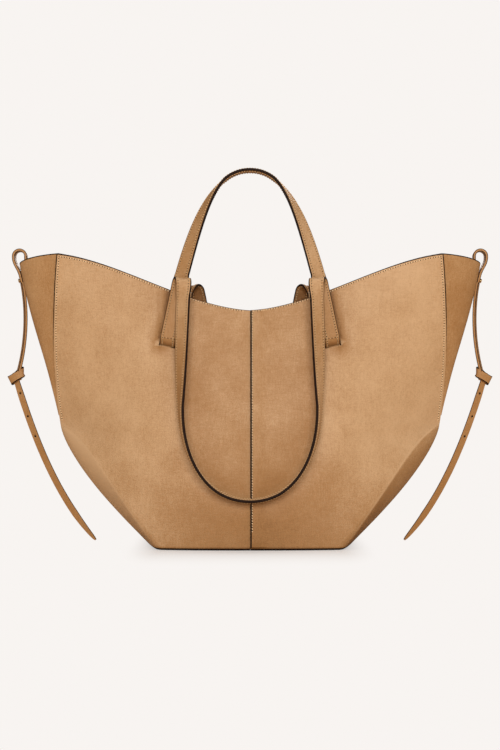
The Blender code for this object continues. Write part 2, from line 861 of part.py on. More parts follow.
def build_short_front(material):
    foot_depth = end_stations(-1, SHORT_HINGE_HEIGHT, 0)[-1][0].y
    foot = Vector((strap_reach(SHORT_HINGE_HEIGHT), foot_depth, SHORT_HINGE_HEIGHT))
    top = Vector((0, foot_depth, SHORT_HINGE_HEIGHT + SHORT_ARCH_HEIGHT))
    rising = Vector((-math.sin(SHORT_FOOT_LEAN), 0, math.cos(SHORT_FOOT_LEAN)))
    top_pull = top + Vector((SHORT_TOP_PULL, 0, 0))
    foot_pull = foot + rising * SHORT_FOOT_PULL
    half = curve_stations(foot, foot_pull, top_pull, top, SHORT_FOOT_TWIST, SHORT_PLANE_LEAN, 20)
    cut = (2, SHORT_HINGE_HEIGHT)
    stations = whole_handle(half, FRONT)
    bm = strap_solid(stations, STRAP_WIDTH, STRAP_THICKNESS, STRAP_EDGE, cut, cut)
    hinge_y = max(vert.co.y for vert in bm.verts if vert.co.z < SHORT_HINGE_HEIGHT + TOUCH_GAP)
    hinge = Vector((0, hinge_y, SHORT_HINGE_HEIGHT))
    axis = add_axis("short_handle_front_axis", hinge)
    add_object("short_handle_front", bm, material, hinge, axis)
    for side_name, side in SIDES.items():
        ends = end_stations(-1, SHORT_HINGE_HEIGHT, 0)
        centre, across, _ = ends[-1]
        twisted = turned_across(across, SHORT_FOOT_TWIST)
        ends[-1] = (centre, twisted, 1)
        half_twist = turned_across(ends[-2][1], SHORT_FOOT_TWIST / 3)
        ends[-2] = (ends[-2][0], half_twist, 1)
        bm = strap_solid(map_stations(ends, side, FRONT), STRAP_WIDTH, STRAP_THICKNESS, STRAP_EDGE,
                         None, (2, SHORT_HINGE_HEIGHT - TOUCH_GAP))
        add_object(f"short_handle_front_end_{side_name}", bm, material)


def build_short_back(material):
    ends, fold = short_back_end()
    count = len(fold) // 2
    apex = fold[count - 1][0]
    for side_name, side in SIDES.items():
        stations = map_stations(ends + fold[:count], side, BACK)
        bm = strap_solid(stations, STRAP_WIDTH, STRAP_THICKNESS, STRAP_EDGE, None,
                         (1, apex.y + TOUCH_GAP / 2))
        add_object(f"short_handle_back_end_{side_name}", bm, material)
    start = fold[-1][0]
    drop = start.z - SHORT_BACK_BOTTOM_HEIGHT
    foot = start - Vector((0, 0, drop * SHORT_BACK_LEAD_SHARE))
    low = Vector((0, foot.y, SHORT_BACK_BOTTOM_HEIGHT))
    foot_pull = foot + Vector((0, 0, low.z - foot.z)) * SHORT_BACK_ROUND_SHARE
    low_pull = low + Vector((foot.x * SHORT_BACK_ROUND_SHARE, 0, 0))
    half = curve_stations(foot, foot_pull, low_pull, low, 0, 0, 18)
    stations = whole_handle(fold[count - 1:] + half, BACK)
    cut = (1, apex.y - TOUCH_GAP / 2)
    bm = strap_solid(stations, STRAP_WIDTH, STRAP_THICKNESS, STRAP_EDGE, cut, cut)
    hinge = Vector((0, apex.y, max(vert.co.z for vert in bm.verts)))
    axis = add_axis("short_handle_back_axis", hinge)
    add_object("short_handle_back", bm, material, hinge, axis)


def long_half(face_name, fold):
    """Half of a long handle, from the top of its fold to its lowest point."""
    count = len(fold) // 2
    start = fold[-1][0]
    front = face_name == "front"
    bottom_height = LONG_BOTTOM_HEIGHT if front else LONG_BACK_BOTTOM_HEIGHT
    straight_end = LONG_STRAIGHT_END if front else LONG_BACK_STRAIGHT_END
    half_width = start.x if front else LONG_BACK_HALF_WIDTH
    out = STRAP_WIDTH / 2 + LONG_BOTTOM_CLEARANCE
    bottom_depth = face_depth(0, LONG_BOTTOM_HEIGHT) + PANEL_THICKNESS + TOUCH_GAP + out
    low = Vector((0, bottom_depth, bottom_height))
    low_pull = low + Vector((LONG_BOTTOM_PULL, 0, 0))
    knee_depth = mix(start.y, bottom_depth, 0.5) + LONG_LEG_DEPTH_OUT
    knee = Vector((half_width, knee_depth, straight_end))
    knee_pull = Vector((half_width, bottom_depth, straight_end - LONG_SIDE_PULL))
    stations = list(fold[count - 1:])
    steps = 10
    lean = 0 if front else LONG_BACK_LEAN
    leg_pull = (start.z - straight_end) / 3
    falling = Vector((-math.sin(lean), 0, -math.cos(lean)))
    for k in range(1, steps):
        s = k / steps
        leg_end = knee + Vector((0, -LONG_LEG_DEPTH_OUT, leg_pull))
        centre = bezier(start, start + falling * leg_pull, leg_end, knee, s)
        inward = Vector((-math.cos(lean * (1 - s)), 0, math.sin(lean * (1 - s))))
        stations.append((centre, turned_across(inward, LONG_KNEE_TURN * s), 1))
    bend = curve_stations(knee, knee_pull, low_pull, low, LONG_KNEE_TURN, 0, 18, 1)
    return stations + bend


def build_long(face_name, material):
    face = FACES[face_name]
    ends, fold = long_end(face_name)
    count = len(fold) // 2
    apex = fold[count - 1][0]
    for side_name, side in SIDES.items():
        stations = map_stations(ends + fold[:count], side, face)
        cut = (1, face * (apex.y - TOUCH_GAP / 2))
        bm = strap_solid(stations, STRAP_WIDTH, STRAP_THICKNESS, STRAP_EDGE, None, cut)
        add_object(f"long_handle_{face_name}_end_{side_name}", bm, material)
    stations = whole_handle(long_half(face_name, fold), face)
    cut = (1, face * (apex.y + TOUCH_GAP / 2))
    bm = strap_solid(stations, STRAP_WIDTH, STRAP_THICKNESS, STRAP_EDGE, cut, cut)
    hinge = Vector((0, face * apex.y, max(vert.co.z for vert in bm.verts)))
    axis = add_axis(f"long_handle_{face_name}_axis", hinge)
    add_object(f"long_handle_{face_name}", bm, material, hinge, axis)


def build_patches(material):
    """A patch inside the bag behind each pair of strap ends."""
    start = PANEL_THICKNESS + (STRAP_THICKNESS + LAYER_GAP) * 2 + LAYER_GAP
    top = SLOT_HEIGHT - PASS_LENGTH / 2
    for face_name, face in FACES.items():
        for side_name, side in SIDES.items():
            rows = []
            for k in range(4):
                height = top - PATCH_HEIGHT * (1 - k / 3)
                row = []
                for j in range(5):
                    reach = strap_reach(height) + PATCH_WIDTH * (j / 4 - 0.5)
                    row.append(Vector((reach, face_depth(reach, height), height)))
                rows.append(row)
            bm = sheet_solid(rows, start, PATCH_THICKNESS)
            mirror_quarter(bm, side, face)
            add_object(f"strap_patch_{face_name}_{side_name}", bm, material)


# Side ties


def tie_loop_stations():
    """The fixed part of a tie: from inside the wing over the rim to its eye round the stud."""
    half = TIE_THICKNESS / 2
    inner = -inside_level([FACING_THICKNESS]) - half
    outer = TOUCH_GAP + half
    normal = ridge_normal()
    along = Vector((-normal.z, 0, normal.x))
    crown = Vector((WING_TIP_REACH - LOOP_OUT / 4, 0, WING_TIP_HEIGHT + LOOP_RISE))
    points = []
    for reach in (-TIE_INSIDE_END, -TIE_INSIDE_END / 2, 0, TIE_INSIDE_END / 2, TIE_INSIDE_END):
        points.append(stud_point(inner) + along * reach)
    rim_in = points[-1]
    rim_out = stud_point(outer) + along * (TIE_INSIDE_END / 2)
    right = crown + Vector((-LOOP_OUT, 0, 0))
    left = crown + Vector((LOOP_OUT, 0, 0))
    inner_pull = rim_in + along * (LOOP_RISE / 2)
    for k in range(1, LOOP_INNER_STEPS + 1):
        points.append(bezier(rim_in, inner_pull, right, crown, k / LOOP_INNER_STEPS))
    crown_pull = left + Vector((LOOP_OUT * LOOP_SWING_SHARE, 0, -LOOP_RISE * LOOP_SAG_SHARE))
    foot_pull = rim_out + along * (LOOP_RISE * LOOP_FOOT_SHARE) + normal * (LOOP_OUT * LOOP_BOW_SHARE)
    for k in range(1, LOOP_OUTER_STEPS + 1):
        points.append(bezier(crown, crown_pull, foot_pull, rim_out, k / LOOP_OUTER_STEPS))
    points.append(stud_point(outer) + along * (EYE_RADIUS * EYE_SHOULDER_SHARE))
    points.append(stud_point(outer))
    across = Vector((0, 1, 0))
    stations = [(point, across, 1) for point in points]
    for share in EYE_ROUND_SHARES:
        wide = math.sqrt(1 - share * share) * 2 * EYE_RADIUS / TIE_WIDTH
        stations.append((stud_point(outer) - along * (EYE_RADIUS * share), across, wide))
    return stations


def hanging_stations():
    """The tie from under its stud to the knot."""
    normal = ridge_normal()
    along = Vector((-normal.z, 0, normal.x))
    outer = TOUCH_GAP + TIE_THICKNESS / 2
    top = stud_point(outer) - along * (EYE_RADIUS + TOUCH_GAP)
    knot_top = KNOT_HEIGHT + KNOT_HALF_HEIGHT * KNOT_ENTRY_SHARE
    end = Vector((KNOT_REACH - KNOT_HALF_WIDTH / 4, 0, knot_top))
    drop = (top.z - end.z) / 3
    top_pull = top - along * drop + Vector((TIE_THICKNESS, 0, 0))
    end_pull = end + Vector((-TIE_WIDTH, 0, drop))
    steps = HANGING_STEPS
    points = [bezier(top, top_pull, end_pull, end, k / steps) for k in range(steps + 1)]
    return [(point, Vector((0, 1, 0)), 1) for point in points]


def tail_curve():
    knot_foot = KNOT_HEIGHT - KNOT_HALF_HEIGHT * KNOT_ENTRY_SHARE
    start = Vector((KNOT_REACH - KNOT_HALF_WIDTH / 4, 0, knot_foot))
    tip = Vector((TAIL_TIP_REACH, 0, TAIL_TIP_HEIGHT))
    span = (start - tip).length / 3
    start_pull = start + Vector((-math.sin(TAIL_LEAN), 0, -math.cos(TAIL_LEAN))) * span
    tip_pull = tip + Vector((math.sin(TAIL_TIP_LEAN), 0, math.cos(TAIL_TIP_LEAN))) * span
    return start, start_pull, tip_pull, tip


def tail_stations():
    steps = TAIL_STEPS
    curve = tail_curve()
    length = (curve[0] - curve[3]).length
    points = [bezier(*curve, k / steps) for k in range(steps + 1)]
    stations = []
    for k, point in enumerate(points):
        along = points[min(k + 1, steps)] - points[max(k - 1, 0)]
        across = Vector((-along.z, 0, along.x)).normalized()
        left = length * (1 - k / steps)
        wide = mix(TAIL_TIP_SHARE, 1, math.sqrt(clamp(left / TAIL_TAPER)))
        stations.append((point, across, wide))
    return stations


def knot_solid():
    """An overhand knot drawn flat: a six-sided lump that swells in the middle."""
    bm = bmesh.new()
    rings = []
    for depth_share, size_share in KNOT_LAYER_SHARES:
        ring = []
        for x, z in KNOT_OUTLINE_SHARES:
            point = Vector((x * KNOT_HALF_WIDTH, 0, z * KNOT_HALF_HEIGHT)) * size_share
            point += Vector((KNOT_REACH, depth_share * KNOT_DEPTH / 2, KNOT_HEIGHT))
            ring.append(bm.verts.new(point))
        rings.append(ring)
    for low, high in zip(rings, rings[1:]):
        for i in range(len(low)):
            j = (i + 1) % len(low)
            bm.faces.new([low[i], low[j], high[j], high[i]])
    bm.faces.new(list(reversed(rings[0])))
    bm.faces.new(rings[-1])
    return bm


def knot_channel(stations, side, extra):
    """The room that a strap takes up where it runs into the knot."""
    mapped = map_stations(stations, side, FRONT)
    for end, beside in ((0, 1), (-1, -2)):
        centre, across, share = mapped[end]
        run = (centre - mapped[beside][0]).normalized()
        mapped[end] = (centre + run * extra, across, share)
    width = TIE_WIDTH + extra
    return strap_solid(mapped, width, TIE_THICKNESS + extra, TIE_EDGE)


def build_ties(material, metal):
    hole = STUD_POST_RADIUS + STUD_HOLE_CLEARANCE
    extra = TOUCH_GAP * 2
    for side_name, side in SIDES.items():
        loop = map_stations(tie_loop_stations(), side, FRONT)
        bm = strap_solid(loop, TIE_WIDTH, TIE_THICKNESS, TIE_EDGE)
        piece = add_object(f"tie_loop_{side_name}", bm, material)
        cut_away(piece, f"tie_loop_{side_name}_hole", stud_hole(side, hole))

        pivot = place(stud_point(TOUCH_GAP + TIE_THICKNESS / 2), side, FRONT)
        axis = add_axis(f"side_tie_{side_name}_axis", pivot)
        hanging = hanging_stations()
        bm = strap_solid(map_stations(hanging, side, FRONT), TIE_WIDTH, TIE_THICKNESS, TIE_EDGE)
        strap = add_object(f"side_tie_{side_name}", bm, material, pivot, axis)
        eye = place(stud_point(-TIE_THICKNESS), side, FRONT)
        direction = place(ridge_normal(), side, FRONT)
        round_eye = disc_solid(eye, direction, EYE_RADIUS + TOUCH_GAP, TIE_THICKNESS * 4)
        cut_away(strap, f"side_tie_{side_name}_round", round_eye)

        tail = tail_stations()
        bm = strap_solid(map_stations(tail, side, FRONT), TIE_WIDTH, TIE_THICKNESS, TIE_EDGE)
        piece = add_object(f"tie_tail_{side_name}", bm, material, pivot, axis)
        curve = tail_curve()
        for number, share in enumerate(TAIL_HOLE_SHARES):
            centre = place(bezier(*curve, share), side, FRONT) - Vector((0, TIE_WIDTH, 0))
            drill = disc_solid(centre, Vector((0, 1, 0)), TAIL_HOLE_RADIUS, TIE_WIDTH * 2, 8)
            cut_away(piece, f"tie_tail_{side_name}_hole_{number}", drill)

        bm = knot_solid()
        mirror_quarter(bm, side, FRONT)
        knot = add_object(f"tie_knot_{side_name}", bm, material, pivot, axis)
        cut_away(knot, f"tie_knot_{side_name}_strap", knot_channel(hanging[-4:], side, extra))
        cut_away(knot, f"tie_knot_{side_name}_tail", knot_channel(tail[:4], side, extra))
        build_stud(side_name, side, metal)


def build_stud(side_name, side, metal):
    """A button stud through the wing, and the flange that holds it from inside."""
    inner = -inside_level([FACING_THICKNESS, TIE_THICKNESS])
    outer = TOUCH_GAP + TIE_THICKNESS + TOUCH_GAP
    normal = ridge_normal()
    profile = [(0, STUD_POST_RADIUS)]
    profile.append((outer - inner, STUD_POST_RADIUS))
    profile.append((outer - inner, STUD_HEAD_RADIUS))
    for k in range(1, 4):
        turn = QUARTER_TURN * k / 4
        reach = outer - inner + STUD_HEAD_HEIGHT * math.sin(turn)
        profile.append((reach, STUD_HEAD_RADIUS * math.cos(turn)))
    bm = bmesh.new()
    across = Vector((0, 1, 0))
    up = normal.cross(across)
    sides = 16
    rings = []
    for reach, radius in profile:
        ring = []
        for k in range(sides):
            turn = math.tau * k / sides
            spoke = across * math.cos(turn) + up * math.sin(turn)
            ring.append(bm.verts.new(place(stud_point(inner + reach) + spoke * radius, side, FRONT)))
        rings.append(ring)
    for low, high in zip(rings, rings[1:]):
        for k in range(sides):
            j = (k + 1) % sides
            bm.faces.new([low[k], low[j], high[j], high[k]])
    bm.faces.new(list(reversed(rings[0])))
    bm.faces.new(rings[-1])
    add_object(f"tie_stud_{side_name}", bm, metal)
    centre = place(stud_point(inner - TOUCH_GAP), side, FRONT)
    direction = place(-normal, side, FRONT)
    bm = disc_solid(centre, direction, STUD_BACK_RADIUS, STUD_BACK_THICKNESS, 16)
    add_object(f"stud_back_{side_name}", bm, metal)


def main():
    for old in list(bpy.data.objects):
        bpy.data.objects.remove(old, do_unlink=True)
    panel_leather = leather("panel_leather", LEATHER_COLOUR)
    gusset_leather = leather("gusset_leather", GUSSET_COLOUR)
    strap_leather = leather("strap_leather", LEATHER_COLOUR, STRAP_ROUGHNESS)
    lining_leather = leather("facing_leather", GUSSET_COLOUR, LINING_ROUGHNESS)
    board = leather("base_board", BOARD_COLOUR, BOARD_ROUGHNESS)
    metal = leather("stud_metal", METAL_COLOUR, METAL_ROUGHNESS, 1.0)
    build_panels(panel_leather)
    build_gussets(gusset_leather, lining_leather)
    build_rim_facings(lining_leather)
    build_base(panel_leather, board)
    build_patches(lining_leather)
    build_short_front(strap_leather)
    build_short_back(strap_leather)
    build_long("front", strap_leather)
    build_long("back", strap_leather)
    build_ties(strap_leather, metal)


main()
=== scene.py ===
"""Looks of the structured leather tote: lapped panels, side gussets, four strap handles, two knotted ties.

Quarter coordinates are used for the body: x outward from the centre seam, y outward from the middle
plane towards the front or the back, z up from the floor.
"""

import math

import bmesh
import bpy
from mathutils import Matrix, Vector


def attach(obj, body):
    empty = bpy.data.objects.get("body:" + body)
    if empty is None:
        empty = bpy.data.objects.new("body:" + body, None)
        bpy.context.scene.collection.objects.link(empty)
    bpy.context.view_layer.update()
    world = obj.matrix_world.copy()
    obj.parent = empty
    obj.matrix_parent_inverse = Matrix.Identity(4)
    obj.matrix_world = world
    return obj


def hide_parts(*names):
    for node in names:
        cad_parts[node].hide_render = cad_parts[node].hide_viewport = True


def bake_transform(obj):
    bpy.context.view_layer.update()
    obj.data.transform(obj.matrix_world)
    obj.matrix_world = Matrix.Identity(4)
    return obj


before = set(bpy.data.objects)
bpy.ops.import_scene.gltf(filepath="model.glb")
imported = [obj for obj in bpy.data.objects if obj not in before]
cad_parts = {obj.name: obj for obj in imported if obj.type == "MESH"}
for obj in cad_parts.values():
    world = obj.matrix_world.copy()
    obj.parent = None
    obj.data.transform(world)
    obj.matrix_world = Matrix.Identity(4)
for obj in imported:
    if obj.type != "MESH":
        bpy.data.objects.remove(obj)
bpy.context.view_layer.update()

LEFT, RIGHT, FRONT, BACK = -1, 1, -1, 1
SIDES = {"left": LEFT, "right": RIGHT}
FACES = {"front": FRONT, "back": BACK}
QUARTER_TURN = math.radians(90)

# Leather and sewing
PANEL = 0.0022
GAP = 0.0004
LAYER_GAP = 0.0007
FACING = 0.0012
LAP = 0.008
LAP_RUNOUT = 0.012
LAP_SPREAD_HEIGHT = 0.12
LAP_PAINT = 0.0022
PAINT_WRAP = 0.0012
PAINT_LEAST = 0.0002
PAINT_SLACK = 0.00002
EDGE_TURN = 0.0009
TIE_EDGE_TURN = 0.0007
KNOT_EDGE_TURN = 0.001
TAIL_EDGE_TURN = 0.0001
STITCH_INSET = 0.0034
STITCH_PITCH = 0.0032
STITCH_LENGTH = 0.0023
STITCH_SLANT = 0.16
SHORTEST_STITCH = 0.000001
THREAD_RADIUS = 0.00058
THREAD_SIDES = 6
HOLE_RADIUS = 0.00068
HOLE_LIFT = 0.00006
HOLE_DEPTH = 0.0003

# Body
BASE_HALF_LENGTH = 0.112
BASE_END_REACH = 0.127
BASE_HALF_DEPTH = 0.075
CREASE_BASE_DEPTH = 0.070
BASE_RADIUS = 0.0026
FLANGE = 0.0099
CORNER_HEIGHT = 0.149
CORNER_REACH = 0.2395
SEAM_TOP_HEIGHT = 0.3593
SEAM_TOP_REACH = 0.2362
SEAM_TOP_DEPTH = 0.050
SEAM_BOW = 0.0058
WING_TIP_HEIGHT = 0.3504
WING_TIP_REACH = 0.2902
RIDGE_WAVE = 0.0016
RIDGE_LAND = 0.0055
RIM_MIDDLE_HEIGHT = 0.2893
RIM_HALF_DEPTH = 0.060
BELLY = 0.014
CREASE_SOFTNESS = 0.009
UPPER_CREASE_SOFTNESS = 0.0035
CORNER_ROUNDING = 0.03
FACING_HEIGHT = 0.030
FACING_REACH = 0.97

# How strongly each line of the body curves
FACE_CURVE = 2.2
CORNER_CURVE = 10
CORNER_CURVE_SHARE = 0.15
SEAM_DEPTH_CURVE = 0.85
END_FOLD_CURVE = 1.44
FACET_CURVE = 1.6
RIM_START_SLOPE = 0.2
RIM_END_SLOPE = 0.4

# Handles
STRAP_WIDTH = 0.019
STRAP_THICKNESS = 0.0042
STRAP_LOOK = 0.0034
STRAP_LEAN = math.radians(12)
SLOT_REACH = 0.0985
SLOT_HEIGHT = 0.2555
SLOT_OPENING = 0.0133
PASS_HEIGHT = 0.2512
PASS_LENGTH = 0.0085
INSIDE_LENGTH = 0.026
SHORT_HINGE_HEIGHT = 0.333
SHORT_ARCH_HEIGHT = 0.128
SHORT_FOOT_PULL = 0.081
SHORT_TOP_PULL = 0.042
SHORT_FOOT_LEAN = math.radians(14.9)
SHORT_PLANE_LEAN = math.radians(6.5)
SHORT_FOOT_TWIST = math.radians(26)
SHORT_BACK_APEX_HEIGHT = 0.3215
SHORT_BACK_FOLD_RADIUS = 0.0056
SHORT_BACK_BOTTOM_HEIGHT = 0.2112
SHORT_BACK_STRAIGHT = 0.24
SHORT_BACK_PULL = 0.6
LONG_BOW = 0.0045
LONG_BOTTOM_HEIGHT = 0.0617
LONG_BOTTOM_ROOM = 0.0008
LONG_SIDE_PULL = 0.066
LONG_BOTTOM_PULL = 0.050
LONG_LEG_OUT = 0.0015
LONG_TOP_TURN = math.radians(32)
LONG_KNEE_TURN = math.radians(68)
LONG_TURN_CURVE = 2.5
LONG_SHAPES = {
    "front": {"apex": 0.3272, "radius": 0.0046, "drift": 0.0050, "lean": math.radians(-2.3),
              "first_turn": math.radians(12), "turned_by": 0.14, "straight_end": 0.175,
              "half_width": 0.0826, "bottom": LONG_BOTTOM_HEIGHT},
    "back": {"apex": 0.3305, "radius": 0.0060, "drift": 0.0130, "lean": math.radians(13),
             "first_turn": math.radians(-15), "turned_by": 0.5, "straight_end": 0.166,
             "half_width": 0.064, "bottom": 0.053},
}

# Ties
TIE_WIDTH = 0.009
TIE_THICKNESS = 0.0015
TIE_BODY = 0.0035
TAIL_BODY = 0.0022
PUNCH_RADIUS = 0.0013
STUD_HEIGHT = 0.331
EYE_RADIUS = 0.0052
KNOT_REACH = 0.2955
KNOT_HEIGHT = 0.2100
KNOT_HALF_WIDTH = 0.0095
KNOT_HALF_HEIGHT = 0.0105
TAIL_TIP_REACH = 0.1948
TAIL_TIP_HEIGHT = 0.0026
TAIL_TAPER = 0.042
TAIL_LEAN = math.radians(17)
TAIL_TIP_LEAN = math.radians(42)
TIE_INSIDE_END = 0.016


def clamp(value):
    return min(1, max(0, value))


def smooth(value):
    q = clamp(value)
    return q * q * (3 - 2 * q)


def mix(a, b, share):
    return a + (b - a) * share


def bezier(p0, p1, p2, p3, s):
    r = 1 - s
    return p0 * (r ** 3) + p1 * (3 * r * r * s) + p2 * (3 * r * s * s) + p3 * (s ** 3)


def bump(value, centre, width):
    """A soft hill one high at its centre."""
    return math.exp(-((value - centre) / width) ** 2)


def place(point, side, face):
    return Vector((side * point.x, face * point.y, point.z))


# Camera

CAMERA_PLACE = (0, -1.475, 0.2109)
CAMERA_LENS = 56.016
SENSOR_WIDTH = 36
FARTHEST_SEEN = 30


def add_camera():
    data = bpy.data.cameras.new("photo_camera")
    data.sensor_width = SENSOR_WIDTH
    data.sensor_fit = "AUTO"
    data.lens = CAMERA_LENS
    data.clip_end = FARTHEST_SEEN
    camera = bpy.data.objects.new("photo_camera", data)
    camera.location = CAMERA_PLACE
    camera.rotation_euler = (QUARTER_TURN, 0, 0)
    bpy.context.scene.collection.objects.link(camera)
    bpy.context.scene.camera = camera


# Body surface, close to that of the solids


def middle_height(height):
    drop = SEAM_TOP_HEIGHT - RIM_MIDDLE_HEIGHT
    return height - drop * (height / SEAM_TOP_HEIGHT) ** 3


def middle_depth(height):
    q = height / RIM_MIDDLE_HEIGHT
    return mix(BASE_HALF_DEPTH, RIM_HALF_DEPTH, q) + BELLY * math.sin(math.pi * q)


def straight_reach(height):
    """Reach of a straight line from the base corner to the low seam point."""
    return mix(BASE_HALF_LENGTH, CORNER_REACH, height / CORNER_HEIGHT)


def panel_depth(height, reach, middle):
    """Depth of the panel below the low seam point, where the crease cuts it off."""
    share = reach / straight_reach(height)
    drawn = mix(CREASE_BASE_DEPTH, GAP / 2, (height / CORNER_HEIGHT) ** 2)
    soft = math.hypot(drawn, CORNER_ROUNDING * (1 - share)) if share < 1 else drawn
    return mix(middle_depth(middle), soft, share ** FACE_CURVE)


def edge_point(height):
    """The outer edge of the face: the crease up to the low seam point, the gusset seam above it."""
    if height <= CORNER_HEIGHT:
        q = height / CORNER_HEIGHT
        reach = mix(BASE_HALF_LENGTH, CORNER_REACH, mix(q, q ** CORNER_CURVE, CORNER_CURVE_SHARE))
        return Vector((reach, panel_depth(height, reach, middle_height(height)), height))
    q = (height - CORNER_HEIGHT) / (SEAM_TOP_HEIGHT - CORNER_HEIGHT)
    reach = mix(CORNER_REACH, SEAM_TOP_REACH, q) + SEAM_BOW * 4 * q * (1 - q)
    return Vector((reach, mix(GAP / 2, SEAM_TOP_DEPTH, q ** SEAM_DEPTH_CURVE), height))


def edge_beside(height):
    """The edge beside a place of the face, also for one a little above or below the panel."""
    return edge_point(clamp(height / SEAM_TOP_HEIGHT) * SEAM_TOP_HEIGHT)


def side_point(height):
    """The end fold, where the front and the back panel meet under the gusset."""
    q = clamp(height / CORNER_HEIGHT)
    return Vector((mix(BASE_END_REACH, CORNER_REACH, 1 - (1 - q) ** END_FOLD_CURVE), GAP / 2, height))


def rim_rise(u):
    start, end = u ** 3 - 2 * u * u + u, u ** 3 - u * u
    return smooth(u) + start * RIM_START_SLOPE + end * RIM_END_SLOPE


def face_point(height, u):
    """A point of the face: its height at the seam, and its share of the way from the middle to the edge."""
    edge = edge_point(height)
    middle = middle_height(height)
    if height <= CORNER_HEIGHT:
        depth = panel_depth(height, edge.x * u, middle)
    else:
        soft = math.hypot(edge.y, CORNER_ROUNDING * (1 - u)) if u < 1 else edge.y
        depth = mix(middle_depth(middle), soft, u ** FACE_CURVE)
    return Vector((edge.x * u, depth, mix(middle, edge.z, rim_rise(u))))


def facet_point(height, w):
    """A point of the end facet, from the crease to the end fold."""
    edge = edge_point(height)
    side = side_point(height)
    return Vector((mix(side.x, edge.x, (1 - w) ** FACET_CURVE), mix(edge.y, side.y, w), height))


NORMAL_STEP = 0.035
DEPTH_HALVINGS = 30


def face_normal(height, u):
    step = (SEAM_TOP_HEIGHT - CORNER_HEIGHT) * NORMAL_STEP
    low = max(CORNER_HEIGHT, height - step)
    across = face_point(height, u) - face_point(height, max(0, u - NORMAL_STEP))
    up = face_point(low + step, u) - face_point(low, u)
    return up.cross(across).normalized()


def face_depth(reach, height):
    """Depth of the face at a true height, found by halving."""
    low, high = 0.0, SEAM_TOP_HEIGHT
    for _ in range(DEPTH_HALVINGS):
        guess = (low + high) / 2
        if face_point(guess, clamp(reach / edge_point(guess).x)).z < height:
            low = guess
        else:
            high = guess
    return face_point(low, clamp(reach / edge_point(low).x)).y


def rim_height(reach):
    return face_point(SEAM_TOP_HEIGHT, reach / edge_point(SEAM_TOP_HEIGHT).x).z


def round_inset(height):
    rise = BASE_RADIUS - min(height, BASE_RADIUS)
    return BASE_RADIUS - math.sqrt(BASE_RADIUS ** 2 - rise ** 2)


def inset_row(points, inset):
    moved = []
    last = len(points) - 1
    for i, point in enumerate(points):
        along = points[min(i + 1, last)] - points[max(i - 1, 0)]
        outward = Vector((-along.y, along.x, 0)).normalized()
        if i == 0:
            outward = Vector((0, 1, 0))
        elif i == last:
            outward = Vector((1, 0, 0))
        moved.append(point - outward * inset)
    return moved


LAP_COLUMNS = 5
FACE_COLUMNS = 30
SEAM_COLUMNS = 2
CORNER_COLUMNS = 7
FACET_COLUMNS = 9
ROUND_ROWS = 6
LIP_ROWS = 4
LOW_ROWS = 22
HIGH_ROWS = 30
CREASE_SOFT_TO = 0.06
CREASE_SHARE = 0.45
SEAM_PAINT_START = 0.236
SEAM_PAINT_RISE = 0.055


def body_row(height, inset):
    """A row with close columns at the lap, at the seam's painted edge and round the crease."""
    edge = edge_point(height)
    start = (LAP + LAP_RUNOUT) / edge.x
    end = 1
    corner, facet = [], []
    if height < CORNER_HEIGHT:
        length = (side_point(height) - edge).length
        soft = mix(CREASE_SOFTNESS, UPPER_CREASE_SOFTNESS, smooth(height / CREASE_SOFT_TO))
        soft = min(soft, CREASE_SHARE * length)
        end = 1 - soft / edge.x
        first = soft / length
        a, c = face_point(height, end), facet_point(height, first)
        for k in range(1, CORNER_COLUMNS + 1):
            s = k / (CORNER_COLUMNS + 1)
            corner.append(a * (1 - s) ** 2 + edge * (2 * s * (1 - s)) + c * s ** 2)
        facet = [facet_point(height, mix(first, 1, k / FACET_COLUMNS)) for k in range(FACET_COLUMNS + 1)]
    elif height == CORNER_HEIGHT:
        facet = [edge] * (CORNER_COLUMNS + FACET_COLUMNS + 1)
    near = [0, LAP_PAINT / edge.x, LAP / 2 / edge.x, LAP / edge.x, (LAP + LAP_RUNOUT / 2) / edge.x]
    shares = near + [mix(start, end, k / FACE_COLUMNS) for k in range(FACE_COLUMNS)]
    wrap = PAINT_WRAP * clamp((height - SEAM_PAINT_START) / SEAM_PAINT_RISE)
    shares += [end - max(wrap, PAINT_LEAST) / edge.x, end]
    row = [face_point(height, u) for u in shares] + corner + facet
    return inset_row(row, inset) if inset else row


def body_heights():
    """Heights of the rows: round the base's edge, a short lip, up to the low seam point, up to the rim."""
    heights = [BASE_RADIUS * (1 - math.cos(QUARTER_TURN * k / ROUND_ROWS)) for k in range(ROUND_ROWS)]
    heights += [mix(BASE_RADIUS, BASE_RADIUS * 2, k / LIP_ROWS) for k in range(LIP_ROWS)]
    heights += [mix(BASE_RADIUS * 2, CORNER_HEIGHT, k / LOW_ROWS) for k in range(LOW_ROWS)]
    heights += [CORNER_HEIGHT]
    heights += [mix(CORNER_HEIGHT, SEAM_TOP_HEIGHT, k / HIGH_ROWS) for k in range(1, HIGH_ROWS)]
    return heights + [SEAM_TOP_HEIGHT - PAINT_WRAP, SEAM_TOP_HEIGHT]


# Dents and swells of the panels, in metres outward

ROUTE_START = 24
ROUTE_STEP = 3
DENT_TOP = 0.285
DENT_TOP_FADE = 0.03
DENT_CHANGE_HEIGHT = 0.16
DENT_CHANGE_RUN = 0.06
DENT_UPPER = 0.0022
DENT_LOWER = 0.0032
DENT_WIDTH = 0.0115

# Each swell: how far out, then centre and width across, centre and width upward
SWELLS = ((-0.0022, 0.165, 0.045, 0.235, 0.06),
          (0.0016, 0.10, 0.05, 0.13, 0.05),
          (-0.0012, 0.07, 0.035, 0.055, 0.03))

# Each ripple: how far out, its speed across and upward, its share of the phase
RIPPLES = ((0.0006, 43, 21, 1), (0.0004, 71, -57, 2))
SIDE_PHASE = 0.8
FACE_PHASE = 0.5
RIPPLE_START = 0.05
SLOT_CALM_WIDTH = 0.028
SLOT_CALM_HEIGHT = 0.045
RIM_CALM = 0.05

